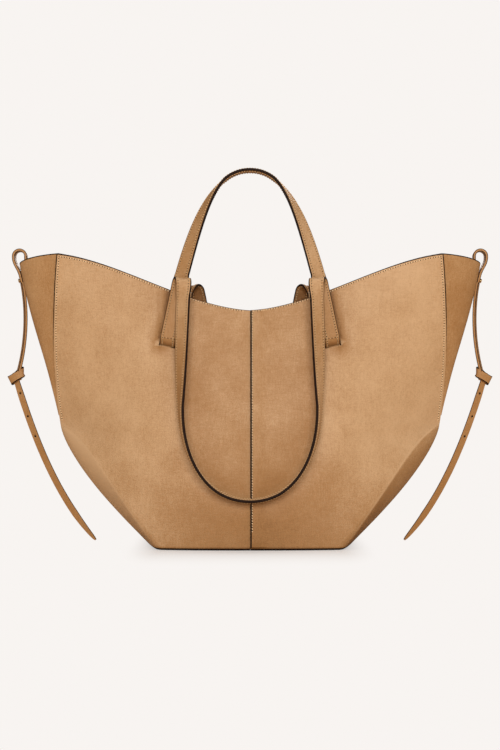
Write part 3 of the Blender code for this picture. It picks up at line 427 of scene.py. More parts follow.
# The hollow that a strap's end pulls beside itself
HOLLOW_DEPTH = 0.0030
HOLLOW_OUT = 0.0085
HOLLOW_WIDTH = 0.0065
HOLLOW_START = 0.225
HOLLOW_RISE = 0.03
HOLLOW_RIM = 0.02
LAP_CALM = 0.012
FOOT_CALM = 0.02
EDGE_CALM = 0.02


def handle_route(face_name):
    """Route of the long handle over its face, as points in x and z with the depth of the dent there."""
    _, half = long_half(face_name)
    route = []
    for centre, _, _ in half[ROUTE_START::ROUTE_STEP]:
        if centre.z < DENT_TOP:
            deep = smooth((DENT_TOP - centre.z) / DENT_TOP_FADE)
            lower = smooth((DENT_CHANGE_HEIGHT - centre.z) / DENT_CHANGE_RUN)
            route.append((centre.x, centre.z, deep * mix(DENT_UPPER, DENT_LOWER, lower)))
    return route


def dent(x, z, route):
    best, deep = 1.0, 0.0
    for px, pz, depth in route:
        gap = math.hypot(x - px, z - pz)
        if gap < best:
            best, deep = gap, depth
    return deep * bump(best, 0, DENT_WIDTH)


def beside_strap(x, z):
    """How far outside the outer edge of the strap ends a place is."""
    return x - strap_reach(z) - STRAP_WIDTH / 2


def sag(point, side, face, route):
    """How far the leather stands out from or sinks under the plain form."""
    x, z = max(0, point.x), point.z
    phase = side * SIDE_PHASE + face * FACE_PHASE
    out = 0
    for far, across, wide, up, tall in SWELLS:
        out += far * bump(x, across, wide) * bump(z, up, tall)
    for far, across, up, share in RIPPLES:
        out += far * math.sin(x * across + z * up + phase * share) * smooth(z / RIPPLE_START)
    rim_here = rim_height(min(x, SEAM_TOP_REACH))
    slot = 1 - bump(x, SLOT_REACH, SLOT_CALM_WIDTH) * bump(z, SLOT_HEIGHT, SLOT_CALM_HEIGHT)
    under_rim = smooth((rim_here - z) / RIM_CALM)
    out *= slot * under_rim
    out -= dent(x, z, route) * under_rim
    pulled = smooth((z - HOLLOW_START) / HOLLOW_RISE) * smooth((rim_here - z) / HOLLOW_RIM)
    out -= HOLLOW_DEPTH * bump(beside_strap(x, z), HOLLOW_OUT, HOLLOW_WIDTH) * pulled
    free = smooth(x / LAP_CALM) * smooth(z / FOOT_CALM)
    edge = smooth((edge_beside(z).x - x) / EDGE_CALM)
    return out * free * edge


# Tones of the panels, painted light and shade: how much darker the leather is, and over what distance in
# metres

# Painted shade: darker towards the foot of each panel and towards its middle
FOOT_PAINTED_SHADE = 0.5
FOOT_TONE_TO = 0.13
CENTRE_PAINTED_SHADE = 0.84
CENTRE_TONE_WIDTH = 0.105
# A painted highlight on each wing: how much paler, then centre and width across, centre and width upward
WING_PAINTED_HIGHLIGHT = (-0.12, 0.195, 0.04, 0.24, 0.09)
# Painted shade inside the loop of each long handle
LOOP_SHADE = 0.25
LOOP_SHADE_IN = 0.018
LOOP_SHADE_WIDTH = 0.019
LOOP_MIDDLE = 0.17
LOOP_SHADE_TOP = 0.20
LOOP_SHADE_FADE = 0.05
LOOP_SHADE_CENTRE = 0.02
# Painted shadow beside the outer edge of each strap end, above its slit
STRAP_SHADE = 2.3
STRAP_SHADE_OUT = -0.001
STRAP_SHADE_WIDTH = 0.008
STRAP_SHADE_START = 0.228
STRAP_SHADE_RISE = 0.03
# A painted contact shadow along the bottom edge of each panel
BASE_PAINTED_SHADOW = 1.2
BASE_TONE_START = 0.0024
BASE_TONE_FADE = 0.0030
# The end facets below the crease: painted light on the left one, painted shade on the right one
FACET_PAINTED_LIGHT_AND_SHADE = {LEFT: -0.95, RIGHT: 0.75}
FACET_TONE_RUN = 0.004
# A painted highlight along the crease
CREASE_PAINTED_HIGHLIGHT = 0.6
CREASE_PALE_WIDTH = 0.0016
CREASE_PALE_START = 0.03


def painted_light_and_shade(point, side, route):
    """Painted light and shade at a place of the panel: darker at its foot and middle, by the straps, along
    the base and on the right facet; paler on the wings, the left facet and the crease.
    """
    x, z = max(0, point.x), point.z
    tone = FOOT_PAINTED_SHADE * (1 - smooth(z / FOOT_TONE_TO)) + CENTRE_PAINTED_SHADE * bump(x, 0, CENTRE_TONE_WIDTH)
    pale, across, wide, up, tall = WING_PAINTED_HIGHLIGHT
    tone += pale * bump(x, across, wide) * bump(z, up, tall)
    gap, near = min((math.hypot(x - px, z - pz), (px, pz)) for px, pz, _ in route)
    inside = Vector((near[0] - x, near[1] - z)).dot(Vector((near[0], near[1] - LOOP_MIDDLE)))
    if inside > 0:
        shade = LOOP_SHADE * bump(gap, LOOP_SHADE_IN, LOOP_SHADE_WIDTH)
        shade *= 1 - smooth((z - LOOP_SHADE_TOP) / LOOP_SHADE_FADE)
        tone += shade * smooth((x + LOOP_SHADE_CENTRE) / LOOP_SHADE_FADE)
    beside = bump(beside_strap(x, z), STRAP_SHADE_OUT, STRAP_SHADE_WIDTH)
    tone += STRAP_SHADE * beside * smooth((z - STRAP_SHADE_START) / STRAP_SHADE_RISE)
    tone += BASE_PAINTED_SHADOW * (1 - smooth((z - BASE_TONE_START) / BASE_TONE_FADE))
    if z < CORNER_HEIGHT:
        past = x - edge_beside(z).x
        tone += FACET_PAINTED_LIGHT_AND_SHADE[side] * smooth(past / FACET_TONE_RUN)
        tone -= CREASE_PAINTED_HIGHLIGHT * bump(past, 0, CREASE_PALE_WIDTH) * smooth(z / CREASE_PALE_START)
    return tone


# Making meshes


def add_mesh(name, bm, materials, smooth_angle=50):
    bmesh.ops.recalc_face_normals(bm, faces=bm.faces)
    mesh = bpy.data.meshes.new(name)
    bm.to_mesh(mesh)
    bm.free()
    for material in materials:
        mesh.materials.append(material)
    mesh.shade_smooth()
    mesh.set_sharp_from_angle(angle=math.radians(smooth_angle))
    piece = bpy.data.objects.new(name, mesh)
    bpy.context.scene.collection.objects.link(piece)
    return piece


# Places in a piece's list of materials. A sheet has its outer leather, its inner leather and the paint of its
# edges; a strap has its leather and the paint; a row of stitches has its thread and the dark of the holes
INNER, EDGE = 1, 2
PAINTED = 1


def hold_plane(normal, axis):
    level = normal.copy()
    level[axis] = 0
    return level / max(level.length_squared, 0.2)


def sheet(rows, start, thickness, plane_of=None, thickness_of=None, painted=None):
    """A closed leather sheet under a grid of outer points, with painted edges."""
    bm = bmesh.new()
    known, grid = {}, []
    for row in rows:
        line = []
        for point in row:
            key = tuple(round(value, 7) for value in point)
            if key not in known:
                known[key] = bm.verts.new(point)
            line.append(known[key])
        grid.append(line)
    for r, (low, high) in enumerate(zip(grid, grid[1:])):
        for i in range(len(low) - 1):
            last = len(high) - 1
            corners = list(dict.fromkeys([low[i], high[min(i, last)], high[min(i + 1, last)], low[i + 1]]))
            if len(corners) > 2:
                made = bm.faces.new(corners)
                if painted and painted(r, i, len(grid)):
                    made.material_index = EDGE
    bm.normal_update()
    outer_faces = list(bm.faces)
    border = [edge for edge in bm.edges if edge.is_boundary]
    border_verts = {vert for edge in border for vert in edge.verts}
    inner, middle, moved = {}, {}, {}
    for vert in list(bm.verts):
        axis = plane_of(vert.co) if plane_of else None
        step = vert.normal if axis is None else hold_plane(vert.normal, axis)
        wall = thickness_of(vert.co) if thickness_of else thickness
        inner[vert] = bm.verts.new(vert.co - step * (start + wall))
        if vert in border_verts:
            middle[vert] = bm.verts.new(vert.co - step * (start + wall / 2))
        moved[vert] = vert.co - step * start
    for face in outer_faces:
        made = bm.faces.new([inner[vert] for vert in reversed(face.verts)])
        made.material_index = INNER
    for edge in border:
        a, b = edge.verts
        for pair in ((a, b, middle[b], middle[a]), (middle[a], middle[b], inner[b], inner[a])):
            bm.faces.new(pair).material_index = EDGE
    for vert, place_now in moved.items():
        vert.co = place_now
    return bm


def mirrored(bm, side, face):
    for vert in bm.verts:
        vert.co = place(vert.co, side, face)
    return bm


def strap_section(width, thickness):
    """Outline of a strap: flat faces with rounded shoulders, and the painted edge turned over them."""
    half, thick = width / 2, thickness / 2
    side = [(half, 0), (half - 0.0001, thick * 0.5), (half - 0.00035, thick * 0.8)]
    side += [(half - EDGE_TURN, thick * 0.97), (half - 0.0022, thick), (half - 0.0050, thick)]
    top = side[1:] + [(0, thick * 1.01)] + [(-x, y) for x, y in reversed(side[1:])]
    bottom = [(-x, -y) for x, y in top]
    return [side[0]] + top + [(-half, 0)] + bottom


def tie_section(width, thickness):
    """Outline of a tie: squarer corners than a strap's, each with room for a narrow painted line."""
    half, thick = width / 2, thickness / 2
    side = [(half, 0), (half, thick * 0.58), (half - 0.00025, thick)]
    side += [(half - 0.0007, thick), (half - 0.001, thick)]
    top = side[1:] + [(0, thick * 1.04)] + [(-x, y) for x, y in reversed(side[1:])]
    bottom = [(-x, -y) for x, y in top]
    return [side[0]] + top + [(-half, 0)] + bottom


def strap_paint(section, width, thickness, turned):
    """Which runs of the outline carry edge paint; the side of a tie stays bare between its two corners."""
    painted = []
    for i, (x, y) in enumerate(section):
        over, up = section[(i + 1) % len(section)]
        outside = min(abs(x), abs(over)) > width / 2 - turned - PAINT_SLACK
        bare = thickness == TIE_BODY and max(abs(y), abs(up)) < thickness * 0.3
        painted.append(outside and not bare)
    return painted


def frames(stations):
    """Centre, along, across and up at each station."""
    found = []
    last = len(stations) - 1
    for i, (centre, across, share) in enumerate(stations):
        along = (stations[min(i + 1, last)][0] - stations[max(i - 1, 0)][0]).normalized()
        across = (across - along * across.dot(along)).normalized()
        found.append((centre, along, across, along.cross(across), share))
    return found


def strap(stations, width, thickness, section=None, tones=None, turned=TAIL_EDGE_TURN, part=None):
    """A strap along its stations, or a part of it from one station to another, open where it goes on."""
    first, last = part or (0, len(stations) - 1)
    section = section or strap_section(width, thickness)
    paint = strap_paint(section, width, thickness, turned)
    bm = bmesh.new()
    layer = bm.verts.layers.float.new("painted_light_and_shade")
    rings = []
    for centre, _, across, up, share in frames(stations)[first:last + 1]:
        rings.append([bm.verts.new(centre + across * a * share + up * b) for a, b in section])
    if tones:
        for ring, tone in zip(rings, tones[first:last + 1]):
            for vert in ring:
                vert[layer] = tone
    count = len(section)
    for low, high in zip(rings, rings[1:]):
        for i in range(count):
            j = (i + 1) % count
            made = bm.faces.new([low[i], low[j], high[j], high[i]])
            made.material_index = PAINTED if paint[i] else 0
    if first == 0:
        bm.faces.new(list(reversed(rings[0]))).material_index = PAINTED
    if last == len(stations) - 1:
        bm.faces.new(rings[-1]).material_index = PAINTED
    return bm


def join_rings(bm, rings):
    """Skin between closed rings of points, with a face over each end."""
    count = len(rings[0])
    for low, high in zip(rings, rings[1:]):
        for i in range(count):
            j = (i + 1) % count
            bm.faces.new([low[i], low[j], high[j], high[i]])
    bm.faces.new(list(reversed(rings[0])))
    bm.faces.new(rings[-1])


def turned_profile(base, direction, profile, sides=28, bm=None):
    """A solid of revolution: radius and height pairs along a direction."""
    if bm is None:
        bm = bmesh.new()
    along = direction.normalized()
    across = along.orthogonal().normalized()
    up = along.cross(across)
    rings = []
    for radius, reach in profile:
        ring = []
        for k in range(sides):
            turn = math.tau * k / sides
            spoke = across * math.cos(turn) + up * math.sin(turn)
            ring.append(bm.verts.new(base + along * reach + spoke * radius))
        rings.append(ring)
    join_rings(bm, rings)
    return bm


def disc(centre, direction, radius, length, sides=24, bm=None):
    return turned_profile(centre, direction, ((radius, 0), (radius, length)), sides, bm)


# A stitch from end to end: where along it, how thick and how high it is there
STITCH_FORM = ((-0.5, 0.35, -0.3), (-0.3, 0.9, 0.35), (0, 1, 0.62), (0.3, 0.9, 0.35), (0.5, 0.35, -0.3))


def stitch_run(bm, points, ups, length=STITCH_LENGTH, radius=THREAD_RADIUS):
    """Lay separate stitches along a line of points on a surface, with a hole after each."""
    spans = [0.0]
    for a, b in zip(points, points[1:]):
        spans.append(spans[-1] + (b - a).length)
    total = spans[-1]
    count = max(1, int(total / STITCH_PITCH))
    pitch = total / count
    k = 0

    def at(reach):
        nonlocal k
        while k < len(points) - 2 and spans[k + 1] < reach:
            k += 1
        q = clamp((reach - spans[k]) / max(1e-9, spans[k + 1] - spans[k]))
        return points[k].lerp(points[k + 1], q), ups[k].lerp(ups[k + 1], q).normalized()

    for n in range(count):
        middle = (n + 0.5) * pitch
        a, up = at(max(0, middle - length / 2))
        b, _ = at(min(total, middle + length / 2))
        run = b - a
        if run.length < SHORTEST_STITCH:
            continue
        run.normalize()
        side = run.cross(up).normalized()
        shift = side * STITCH_SLANT * length / 2
        rings = []
        for q, size, rise in STITCH_FORM:
            base = a.lerp(b, q + 0.5) + shift * (q * 2) + up * (radius * rise)
            ring = []
            for j in range(THREAD_SIDES):
                turn = math.tau * j / THREAD_SIDES
                spoke = side * math.cos(turn) + up * math.sin(turn)
                ring.append(bm.verts.new(base + spoke * radius * size))
            rings.append(ring)
        join_rings(bm, rings)
        spot = b + run * ((pitch - length) / 2) + up * HOLE_LIFT
        rim = []
        for j in range(THREAD_SIDES):
            turn = math.tau * j / THREAD_SIDES
            spoke = side * math.cos(turn) + run * math.sin(turn)
            rim.append(bm.verts.new(spot + spoke * HOLE_RADIUS))
        tip = bm.verts.new(spot - up * HOLE_DEPTH)
        for j in range(THREAD_SIDES):
            bm.faces.new([rim[j], rim[(j + 1) % THREAD_SIDES], tip]).material_index = PAINTED
        bm.faces.new(rim).material_index = PAINTED


# Strap routes, close to those of the solids


def slot_across():
    return Vector((-math.cos(STRAP_LEAN), 0, -math.sin(STRAP_LEAN)))


def strap_reach(height):
    return SLOT_REACH - (height - SLOT_HEIGHT) * math.tan(STRAP_LEAN)


def face_across(height):
    half = slot_across() * (STRAP_WIDTH / 2)
    centre = Vector((strap_reach(height), 0, min(height, rim_height(strap_reach(height)))))
    inner, outer = centre + half, centre - half
    half.y = (face_depth(inner.x, inner.z) - face_depth(outer.x, outer.z)) / 2
    return half.normalized()


def pair_depth(height):
    reach = strap_reach(height)
    surface = face_depth(reach, min(height, rim_height(reach)))
    stack = STRAP_THICKNESS + LAYER_GAP * 1.5
    share = smooth((height - PASS_HEIGHT) / PASS_LENGTH + 0.5)
    return mix(surface - PANEL - stack, surface + stack, share)


def end_stations(layer, top, bow):
    """A strap's end: from inside the bag, out through the slit and up the panel to a height."""
    bottom = SLOT_HEIGHT - SLOT_DROP - INSIDE_LENGTH
    delta = PASS_LENGTH / 8
    offset = layer * (STRAP_THICKNESS + LAYER_GAP) / 2
    stations = []
    for k in range(END_STEPS + 1):
        height = mix(bottom, top, k / END_STEPS)
        slope = (pair_depth(height + delta) - pair_depth(height - delta)) / (2 * delta)
        normal = Vector((0, 1, -slope)).normalized()
        centre = Vector((strap_reach(height), pair_depth(height), height)) + normal * offset
        centre.y += bow * smooth((height - PASS_HEIGHT - BOW_START) / (top - PASS_HEIGHT))
        stations.append((centre, face_across(height), 1))
    return stations


def map_stations(stations, side, face):
    return [(place(c, side, face), place(a, side, face), share) for c, a, share in stations]


SLOT_DROP = 0.011
BOW_START = 0.004
END_STEPS = 80
FOLD_STEPS = 20
LEG_STEPS = 40
LOOP_STEPS = 56
SHORT_BACK_LEG_STEPS = 10
SHORT_BACK_LOOP_STEPS = 50
FOOT_TWIST_STEPS = 8
FOOT_TWIST_CURVE = 1.5
LOOP_TURN_CURVE = 1.3
LOOP_TURNED_BY = 0.72


def fold_stations(start, radius, direction, lean_from, lean_to, drift=0.0, turn=0.0):
    """A hairpin; it drifts inward and turns about its own length on the way down."""
    stations = []
    point = start.copy()
    for k in range(FOLD_STEPS):
        middle = math.pi * (k + 0.5) / FOLD_STEPS
        lean = mix(lean_from, lean_to, (k + 0.5) / FOLD_STEPS)
        rise = math.cos(middle)
        run = Vector((-rise * math.sin(lean), direction * math.sin(middle), rise * math.cos(lean)))
        point = point + run * (2 * radius * math.sin(QUARTER_TURN / FOLD_STEPS))
        lean = mix(lean_from, lean_to, (k + 1) / FOLD_STEPS)
        shift = Vector((-drift * smooth((k + 1) / FOLD_STEPS), 0, 0))
        inward = Vector((-math.cos(lean), 0, -math.sin(lean)))
        so_far = turn * smooth(2 * (k + 1) / FOLD_STEPS - 1)
        across = inward * math.cos(so_far) + run.normalized().cross(inward) * math.sin(so_far)
        stations.append((point + shift, across, 1))
    return stations


def turned_across(inward, turn):
    return inward * math.cos(turn) + Vector((0, 1, 0)) * math.sin(turn)


def curve_stations(p0, p1, p2, p3, turn_from, lean, steps, power=LOOP_TURN_CURVE):
    """A bent length that turns edge-on as it goes."""
    points = [bezier(p0, p1, p2, p3, k / steps) for k in range(steps + 1)]
    stations = []
    for k, point in enumerate(points):
        along = points[min(k + 1, steps)] - points[max(k - 1, 0)]
        inward = Vector((-abs(along.z), 0, math.copysign(1, -along.z) * abs(along.x))).normalized()
        turn = mix(turn_from, QUARTER_TURN, clamp(k / steps / LOOP_TURNED_BY) ** power)
        centre = Vector((point.x, point.y - abs(point.z - p0.z) * math.tan(lean), point.z))
        stations.append((centre, turned_across(inward, turn), 1))
    return stations


def whole_strap(ends, half, face):
    """Stations from one inside end, over the loop, to the other inside end."""
    quarter = ends + half
    left = map_stations(quarter, LEFT, face)
    right = map_stations(quarter[:-1], RIGHT, face)
    return left + list(reversed(right))


def short_front_half():
    """One strap end with its foot twisted, and its half of the standing loop."""
    ends = end_stations(-1, SHORT_HINGE_HEIGHT, 0)
    count = len(ends)
    foot = ends[-1][0].copy()
    for i, (centre, across, share) in enumerate(ends):
        left = (count - 1 - i) / FOOT_TWIST_STEPS
        if left < 1:
            twist = SHORT_FOOT_TWIST * (1 - left) ** FOOT_TWIST_CURVE
            ends[i] = (centre, turned_across(across, twist), share)
    top = Vector((0, foot.y, SHORT_HINGE_HEIGHT + SHORT_ARCH_HEIGHT))
    rising = Vector((-math.sin(SHORT_FOOT_LEAN), 0, math.cos(SHORT_FOOT_LEAN)))
    half = curve_stations(foot, foot + rising * SHORT_FOOT_PULL, top + Vector((SHORT_TOP_PULL, 0, 0)),
                          top, SHORT_FOOT_TWIST, SHORT_PLANE_LEAN, LOOP_STEPS)
    return ends, half[1:]


def short_back_half():
    """One strap end, the fold over the rim into the bag, and half of the loop that hangs there."""
    crown = SHORT_BACK_APEX_HEIGHT - STRAP_THICKNESS / 2 - SHORT_BACK_FOLD_RADIUS
    ends = end_stations(-1, crown, 0)
    fold = fold_stations(ends[-1][0], SHORT_BACK_FOLD_RADIUS, -1, STRAP_LEAN, 0)
    start = fold[-1][0]
    drop = start.z - SHORT_BACK_BOTTOM_HEIGHT
    foot = start - Vector((0, 0, drop * SHORT_BACK_STRAIGHT))
    low = Vector((0, foot.y, SHORT_BACK_BOTTOM_HEIGHT))
    down = [(start.lerp(foot, k / SHORT_BACK_LEG_STEPS), Vector((-1, 0, 0)), 1)
            for k in range(1, SHORT_BACK_LEG_STEPS)]
    half = down + curve_stations(foot, foot + Vector((0, 0, low.z - foot.z)) * SHORT_BACK_PULL,
                                 low + Vector((foot.x * SHORT_BACK_PULL, 0, 0)), low, 0, 0,
                                 SHORT_BACK_LOOP_STEPS)
    return ends, fold + half


def long_half(face_name):
    """One strap end, the fold over outward, the leg as it turns edge-on, and half of the low loop."""
    shape = LONG_SHAPES[face_name]
    radius, lean, first_turn = shape["radius"], shape["lean"], shape["first_turn"]
    crown = shape["apex"] - STRAP_THICKNESS / 2 - radius
    ends = end_stations(1, crown, LONG_BOW)
    fold = fold_stations(ends[-1][0], radius, 1, STRAP_LEAN, -lean, shape["drift"], first_turn)
    start = fold[-1][0]
    half_width, straight_end = shape["half_width"], shape["straight_end"]
    bottom_depth = face_depth(0, LONG_BOTTOM_HEIGHT) + PANEL + GAP + STRAP_WIDTH / 2 + LONG_BOTTOM_ROOM
    low = Vector((0, bottom_depth, shape["bottom"]))
    knee = Vector((half_width, mix(start.y, bottom_depth, 0.5) + LONG_LEG_OUT, straight_end))
    pull = (start.z - straight_end) / 3
    falling = Vector((-math.sin(lean), 0, -math.cos(lean)))
    stations = list(fold)
    for k in range(1, LEG_STEPS):
        s = k / LEG_STEPS
        leg_end = knee + Vector((0, -LONG_LEG_OUT, pull))
        centre = bezier(start, start + falling * pull, leg_end, knee, s)
        inward = Vector((-math.cos(lean * (1 - s)), 0, math.sin(lean * (1 - s))))
        settled = mix(LONG_TOP_TURN, LONG_KNEE_TURN, s ** LONG_TURN_CURVE)
        turn = mix(first_turn, settled, smooth(s / shape["turned_by"]))
        stations.append((centre, turned_across(inward, turn), 1))
    bend = curve_stations(knee, Vector((half_width, bottom_depth, straight_end - LONG_SIDE_PULL)),
                          low + Vector((LONG_BOTTOM_PULL, 0, 0)), low, LONG_KNEE_TURN, 0, LOOP_STEPS, 1)
    return ends, stations + bend


# Materials

TAN = (0.570, 0.350, 0.184, 1)
STUD_COLOUR = (0.70, 0.48, 0.24, 1)

# What the leather's colour is multiplied by where it is paler, darker and darkest, from its mottle and from
# the painted light and shade it is given
PALE_TINT = (1.10, 1.13, 1.17, 1)
DARK_TINT = (0.66, 0.54, 0.38, 1)
DARKEST_TINT = (0.36, 0.25, 0.13, 1)

# Sizes of the noises, in marks per metre, and their shares of the grain and of the tone
FINE_MARKS, SLOW_MARKS, BROAD_MARKS, BRUSH_MARKS = 2600.0, 30.0, 9.0, 620.0
BRUSH_STRETCH = 0.16
PEBBLE_SHARE, FINE_SHARE = 0.75, 0.25
CLOUD_SHARE, VALLEY_SHARE, ROUGH_SHARE = 1.5, 0.5, 0.12
PEBBLE_SMOOTHNESS = 0.35
PEBBLE_EDGES = (0.15, 0.85)
VALLEY_LEVEL = 0.6
STUD_MARKS = 900.0
STUD_ROUGHNESS = (0.22, 0.34)

# From which tone to which the leather goes from pale to dark, and from dark to darkest
DARK_TONES = (-0.6, 1.4)
DARKEST_TONES = (1.2, 2.6)

# Each finish: material, colour, roughness, pebbles per metre, mottle, relief, gloss, and how dark it is,
# as a number or as the name of the tones kept on the piece's points, which hold painted light and shade
FINISHES = {
    "panel": ("panel_leather", TAN, 0.46, 1100.0, 0.75, 0.00012, 0.22, "painted_light_and_shade"),
    # The gusset's leather is a darker copy of the panel's, darkened by 0.5 as painted shade
    "gusset": ("gusset_leather", (0.565, 0.327, 0.155, 1), 0.46, 1100.0, 0.75, 0.00012, 0.22, 0.5),
    "strap": ("strap_leather", TAN, 0.46, 900.0, 0.9, 0.00018, 0.2, "painted_light_and_shade"),
    "tie": ("tie_leather", (0.575, 0.336, 0.160, 1), 0.46, 1300.0, 0.6, 0.00008, 0.2, 1.0),
    "lining": ("lining_leather", (0.44, 0.25, 0.125, 1), 0.7, 1900.0, 0.5, 0.00008, 0.15, 0.1),
    "edge": ("edge_paint", (0.016, 0.007, 0.004, 1), 0.6, 900.0, 0.2, 0.00003, 0.1, 0.0),
    "thread": ("stitch_thread", (0.86, 0.62, 0.37, 1), 0.6, 5000.0, 0.1, 0.00004, 0.15, 0.0),
    "strap_thread": ("strap_thread", (0.60, 0.39, 0.20, 1), 0.6, 5000.0, 0.1, 0.00004, 0.1, 0.0),
    "board": ("base_board", (0.30, 0.20, 0.115, 1), 0.75, 1400.0, 0.3, 0.00008, 0.2, 0.0),
}


def new_group(name, inputs, outputs):
    group = bpy.data.node_groups.new(name, "ShaderNodeTree")
    for label, kind, value in inputs:
        socket = group.interface.new_socket(label, in_out="INPUT", socket_type=kind)
        if value is not None:
            socket.default_value = value
    for label, kind in outputs:
        group.interface.new_socket(label, in_out="OUTPUT", socket_type=kind)
    return group, group.nodes.new("NodeGroupInput"), group.nodes.new("NodeGroupOutput")


def math_node(tree, operation, a, b=None):
    node = tree.nodes.new("ShaderNodeMath")
    node.operation = operation
    for socket, value in zip(node.inputs, (a, b)):
        if value is None:
            continue
        if isinstance(value, (int, float)):
            socket.default_value = value
        else:
            tree.links.new(value, socket)
    return node.outputs[0]


def noise_node(tree, vector, scale, detail=2.0, roughness=0.5):
    node = tree.nodes.new("ShaderNodeTexNoise")
    node.inputs["Detail"].default_value = detail
    node.inputs["Roughness"].default_value = roughness
    tree.links.new(vector, node.inputs["Vector"])
    node.inputs["Scale"].default_value = scale
    return node.outputs["Fac"]


def range_node(tree, value, low, high, to_low, to_high):
    node = tree.nodes.new("ShaderNodeMapRange")
    node.interpolation_type = "SMOOTHSTEP"
    tree.links.new(value, node.inputs["Value"])
    for key, number in (("From Min", low), ("From Max", high), ("To Min", to_low), ("To Max", to_high)):
        node.inputs[key].default_value = number
    return node.outputs["Result"]


def colour_mix(tree, factor, a, b, blend="MIX"):
    node = tree.nodes.new("ShaderNodeMix")
    node.data_type = "RGBA"
    node.blend_type = blend
    for socket, value in ((node.inputs["Factor"], factor), (node.inputs["A"], a), (node.inputs["B"], b)):
        if isinstance(value, (int, float, tuple)):
            socket.default_value = value
        else:
            tree.links.new(value, socket)
    return node.outputs["Result"]


def build_grain_group():
    """Fine pebble grain with brushed and slow changes of tone, to which the painted light and shade it is
    given is added; darker places are also warmer.
    """
    tree, start, end = new_group(
        "leather_grain",
        [("Colour", "NodeSocketColor", TAN), ("Pebbles per metre", "NodeSocketFloat", 1100.0),
         ("Mottle", "NodeSocketFloat", 0.3), ("Tone with painted light and shade", "NodeSocketFloat", 0.0),
         ("Roughness", "NodeSocketFloat", 0.5)],
        [("Colour", "NodeSocketColor"), ("Roughness", "NodeSocketFloat"), ("Height", "NodeSocketFloat")])
    where = tree.nodes.new("ShaderNodeTexCoord").outputs["Object"]
    cells = tree.nodes.new("ShaderNodeTexVoronoi")
    cells.feature = "SMOOTH_F1"
    cells.inputs["Smoothness"].default_value = PEBBLE_SMOOTHNESS
    tree.links.new(where, cells.inputs["Vector"])
    tree.links.new(start.outputs["Pebbles per metre"], cells.inputs["Scale"])
    pebble = range_node(tree, cells.outputs["Distance"], *PEBBLE_EDGES, 1.0, 0.0)
    fine = noise_node(tree, where, FINE_MARKS, 2.0)
    slow = noise_node(tree, where, SLOW_MARKS, 4.0, 0.6)
    broad = noise_node(tree, where, BROAD_MARKS, 1.0)
    brushed = []
    for stretch in ((1.0, 1.0, BRUSH_STRETCH), (BRUSH_STRETCH, 1.0, 1.0)):
        turned = tree.nodes.new("ShaderNodeMapping")
        turned.inputs["Scale"].default_value = stretch
        tree.links.new(where, turned.inputs["Vector"])
        brushed.append(noise_node(tree, turned.outputs[0], BRUSH_MARKS, 2.0, 0.6))
    height = math_node(tree, "ADD", math_node(tree, "MULTIPLY", pebble, PEBBLE_SHARE),
                       math_node(tree, "MULTIPLY", fine, FINE_SHARE))
    tree.links.new(height, end.inputs["Height"])
    cloud = math_node(tree, "SUBTRACT", math_node(tree, "ADD", slow, broad), 1.0)
    weave = math_node(tree, "SUBTRACT", math_node(tree, "ADD", *brushed), 1.0)
    tone = math_node(tree, "ADD", math_node(tree, "MULTIPLY", cloud, CLOUD_SHARE), weave)
    tone = math_node(tree, "MULTIPLY", tone, start.outputs["Mottle"])
    valley = math_node(tree, "MULTIPLY", math_node(tree, "SUBTRACT", VALLEY_LEVEL, pebble), VALLEY_SHARE)
    tone = math_node(tree, "ADD", math_node(tree, "ADD", tone, valley), start.outputs["Tone with painted light and shade"])
    shades = colour_mix(tree, range_node(tree, tone, *DARK_TONES, 0.0, 1.0),
                        colour_mix(tree, 1.0, start.outputs["Colour"], PALE_TINT, "MULTIPLY"),
                        colour_mix(tree, 1.0, start.outputs["Colour"], DARK_TINT, "MULTIPLY"))
    deepest = colour_mix(tree, 1.0, start.outputs["Colour"], DARKEST_TINT, "MULTIPLY")
    tree.links.new(colour_mix(tree, range_node(tree, tone, *DARKEST_TONES, 0.0, 1.0), shades, deepest),
                   end.inputs["Colour"])
    rough = math_node(tree, "ADD", start.outputs["Roughness"], math_node(tree, "MULTIPLY", slow, ROUGH_SHARE))
    tree.links.new(rough, end.inputs["Roughness"])
    return tree


def new_material(name):
    material = bpy.data.materials.new(name)
    material.use_nodes = True
    return material, material.node_tree, material.node_tree.nodes["Principled BSDF"]


def leather_material(grain, name, colour, roughness, pebbles, mottle, relief, specular, tone_with_painted_light_and_shade):
    material, tree, shader = new_material(name)
    node = tree.nodes.new("ShaderNodeGroup")
    node.node_tree = grain
    node.inputs["Colour"].default_value = colour
    node.inputs["Pebbles per metre"].default_value = pebbles
    node.inputs["Mottle"].default_value = mottle
    node.inputs["Roughness"].default_value = roughness
    # The tone input carries the piece's painted light and shade, as a number or from its points
    if isinstance(tone_with_painted_light_and_shade, (int, float)):
        node.inputs["Tone with painted light and shade"].default_value = tone_with_painted_light_and_shade
    else:
        tones = tree.nodes.new("ShaderNodeAttribute")
        tones.attribute_name = tone_with_painted_light_and_shade
        tree.links.new(tones.outputs["Fac"], node.inputs["Tone with painted light and shade"])
    bump_node = tree.nodes.new("ShaderNodeBump")
    bump_node.inputs["Strength"].default_value = 1.0
    bump_node.inputs["Distance"].default_value = relief
    tree.links.new(node.outputs["Height"], bump_node.inputs["Height"])
    tree.links.new(bump_node.outputs["Normal"], shader.inputs["Normal"])
    tree.links.new(node.outputs["Colour"], shader.inputs["Base Color"])
    tree.links.new(node.outputs["Roughness"], shader.inputs["Roughness"])
    shader.inputs["Specular IOR Level"].default_value = specular
    return material


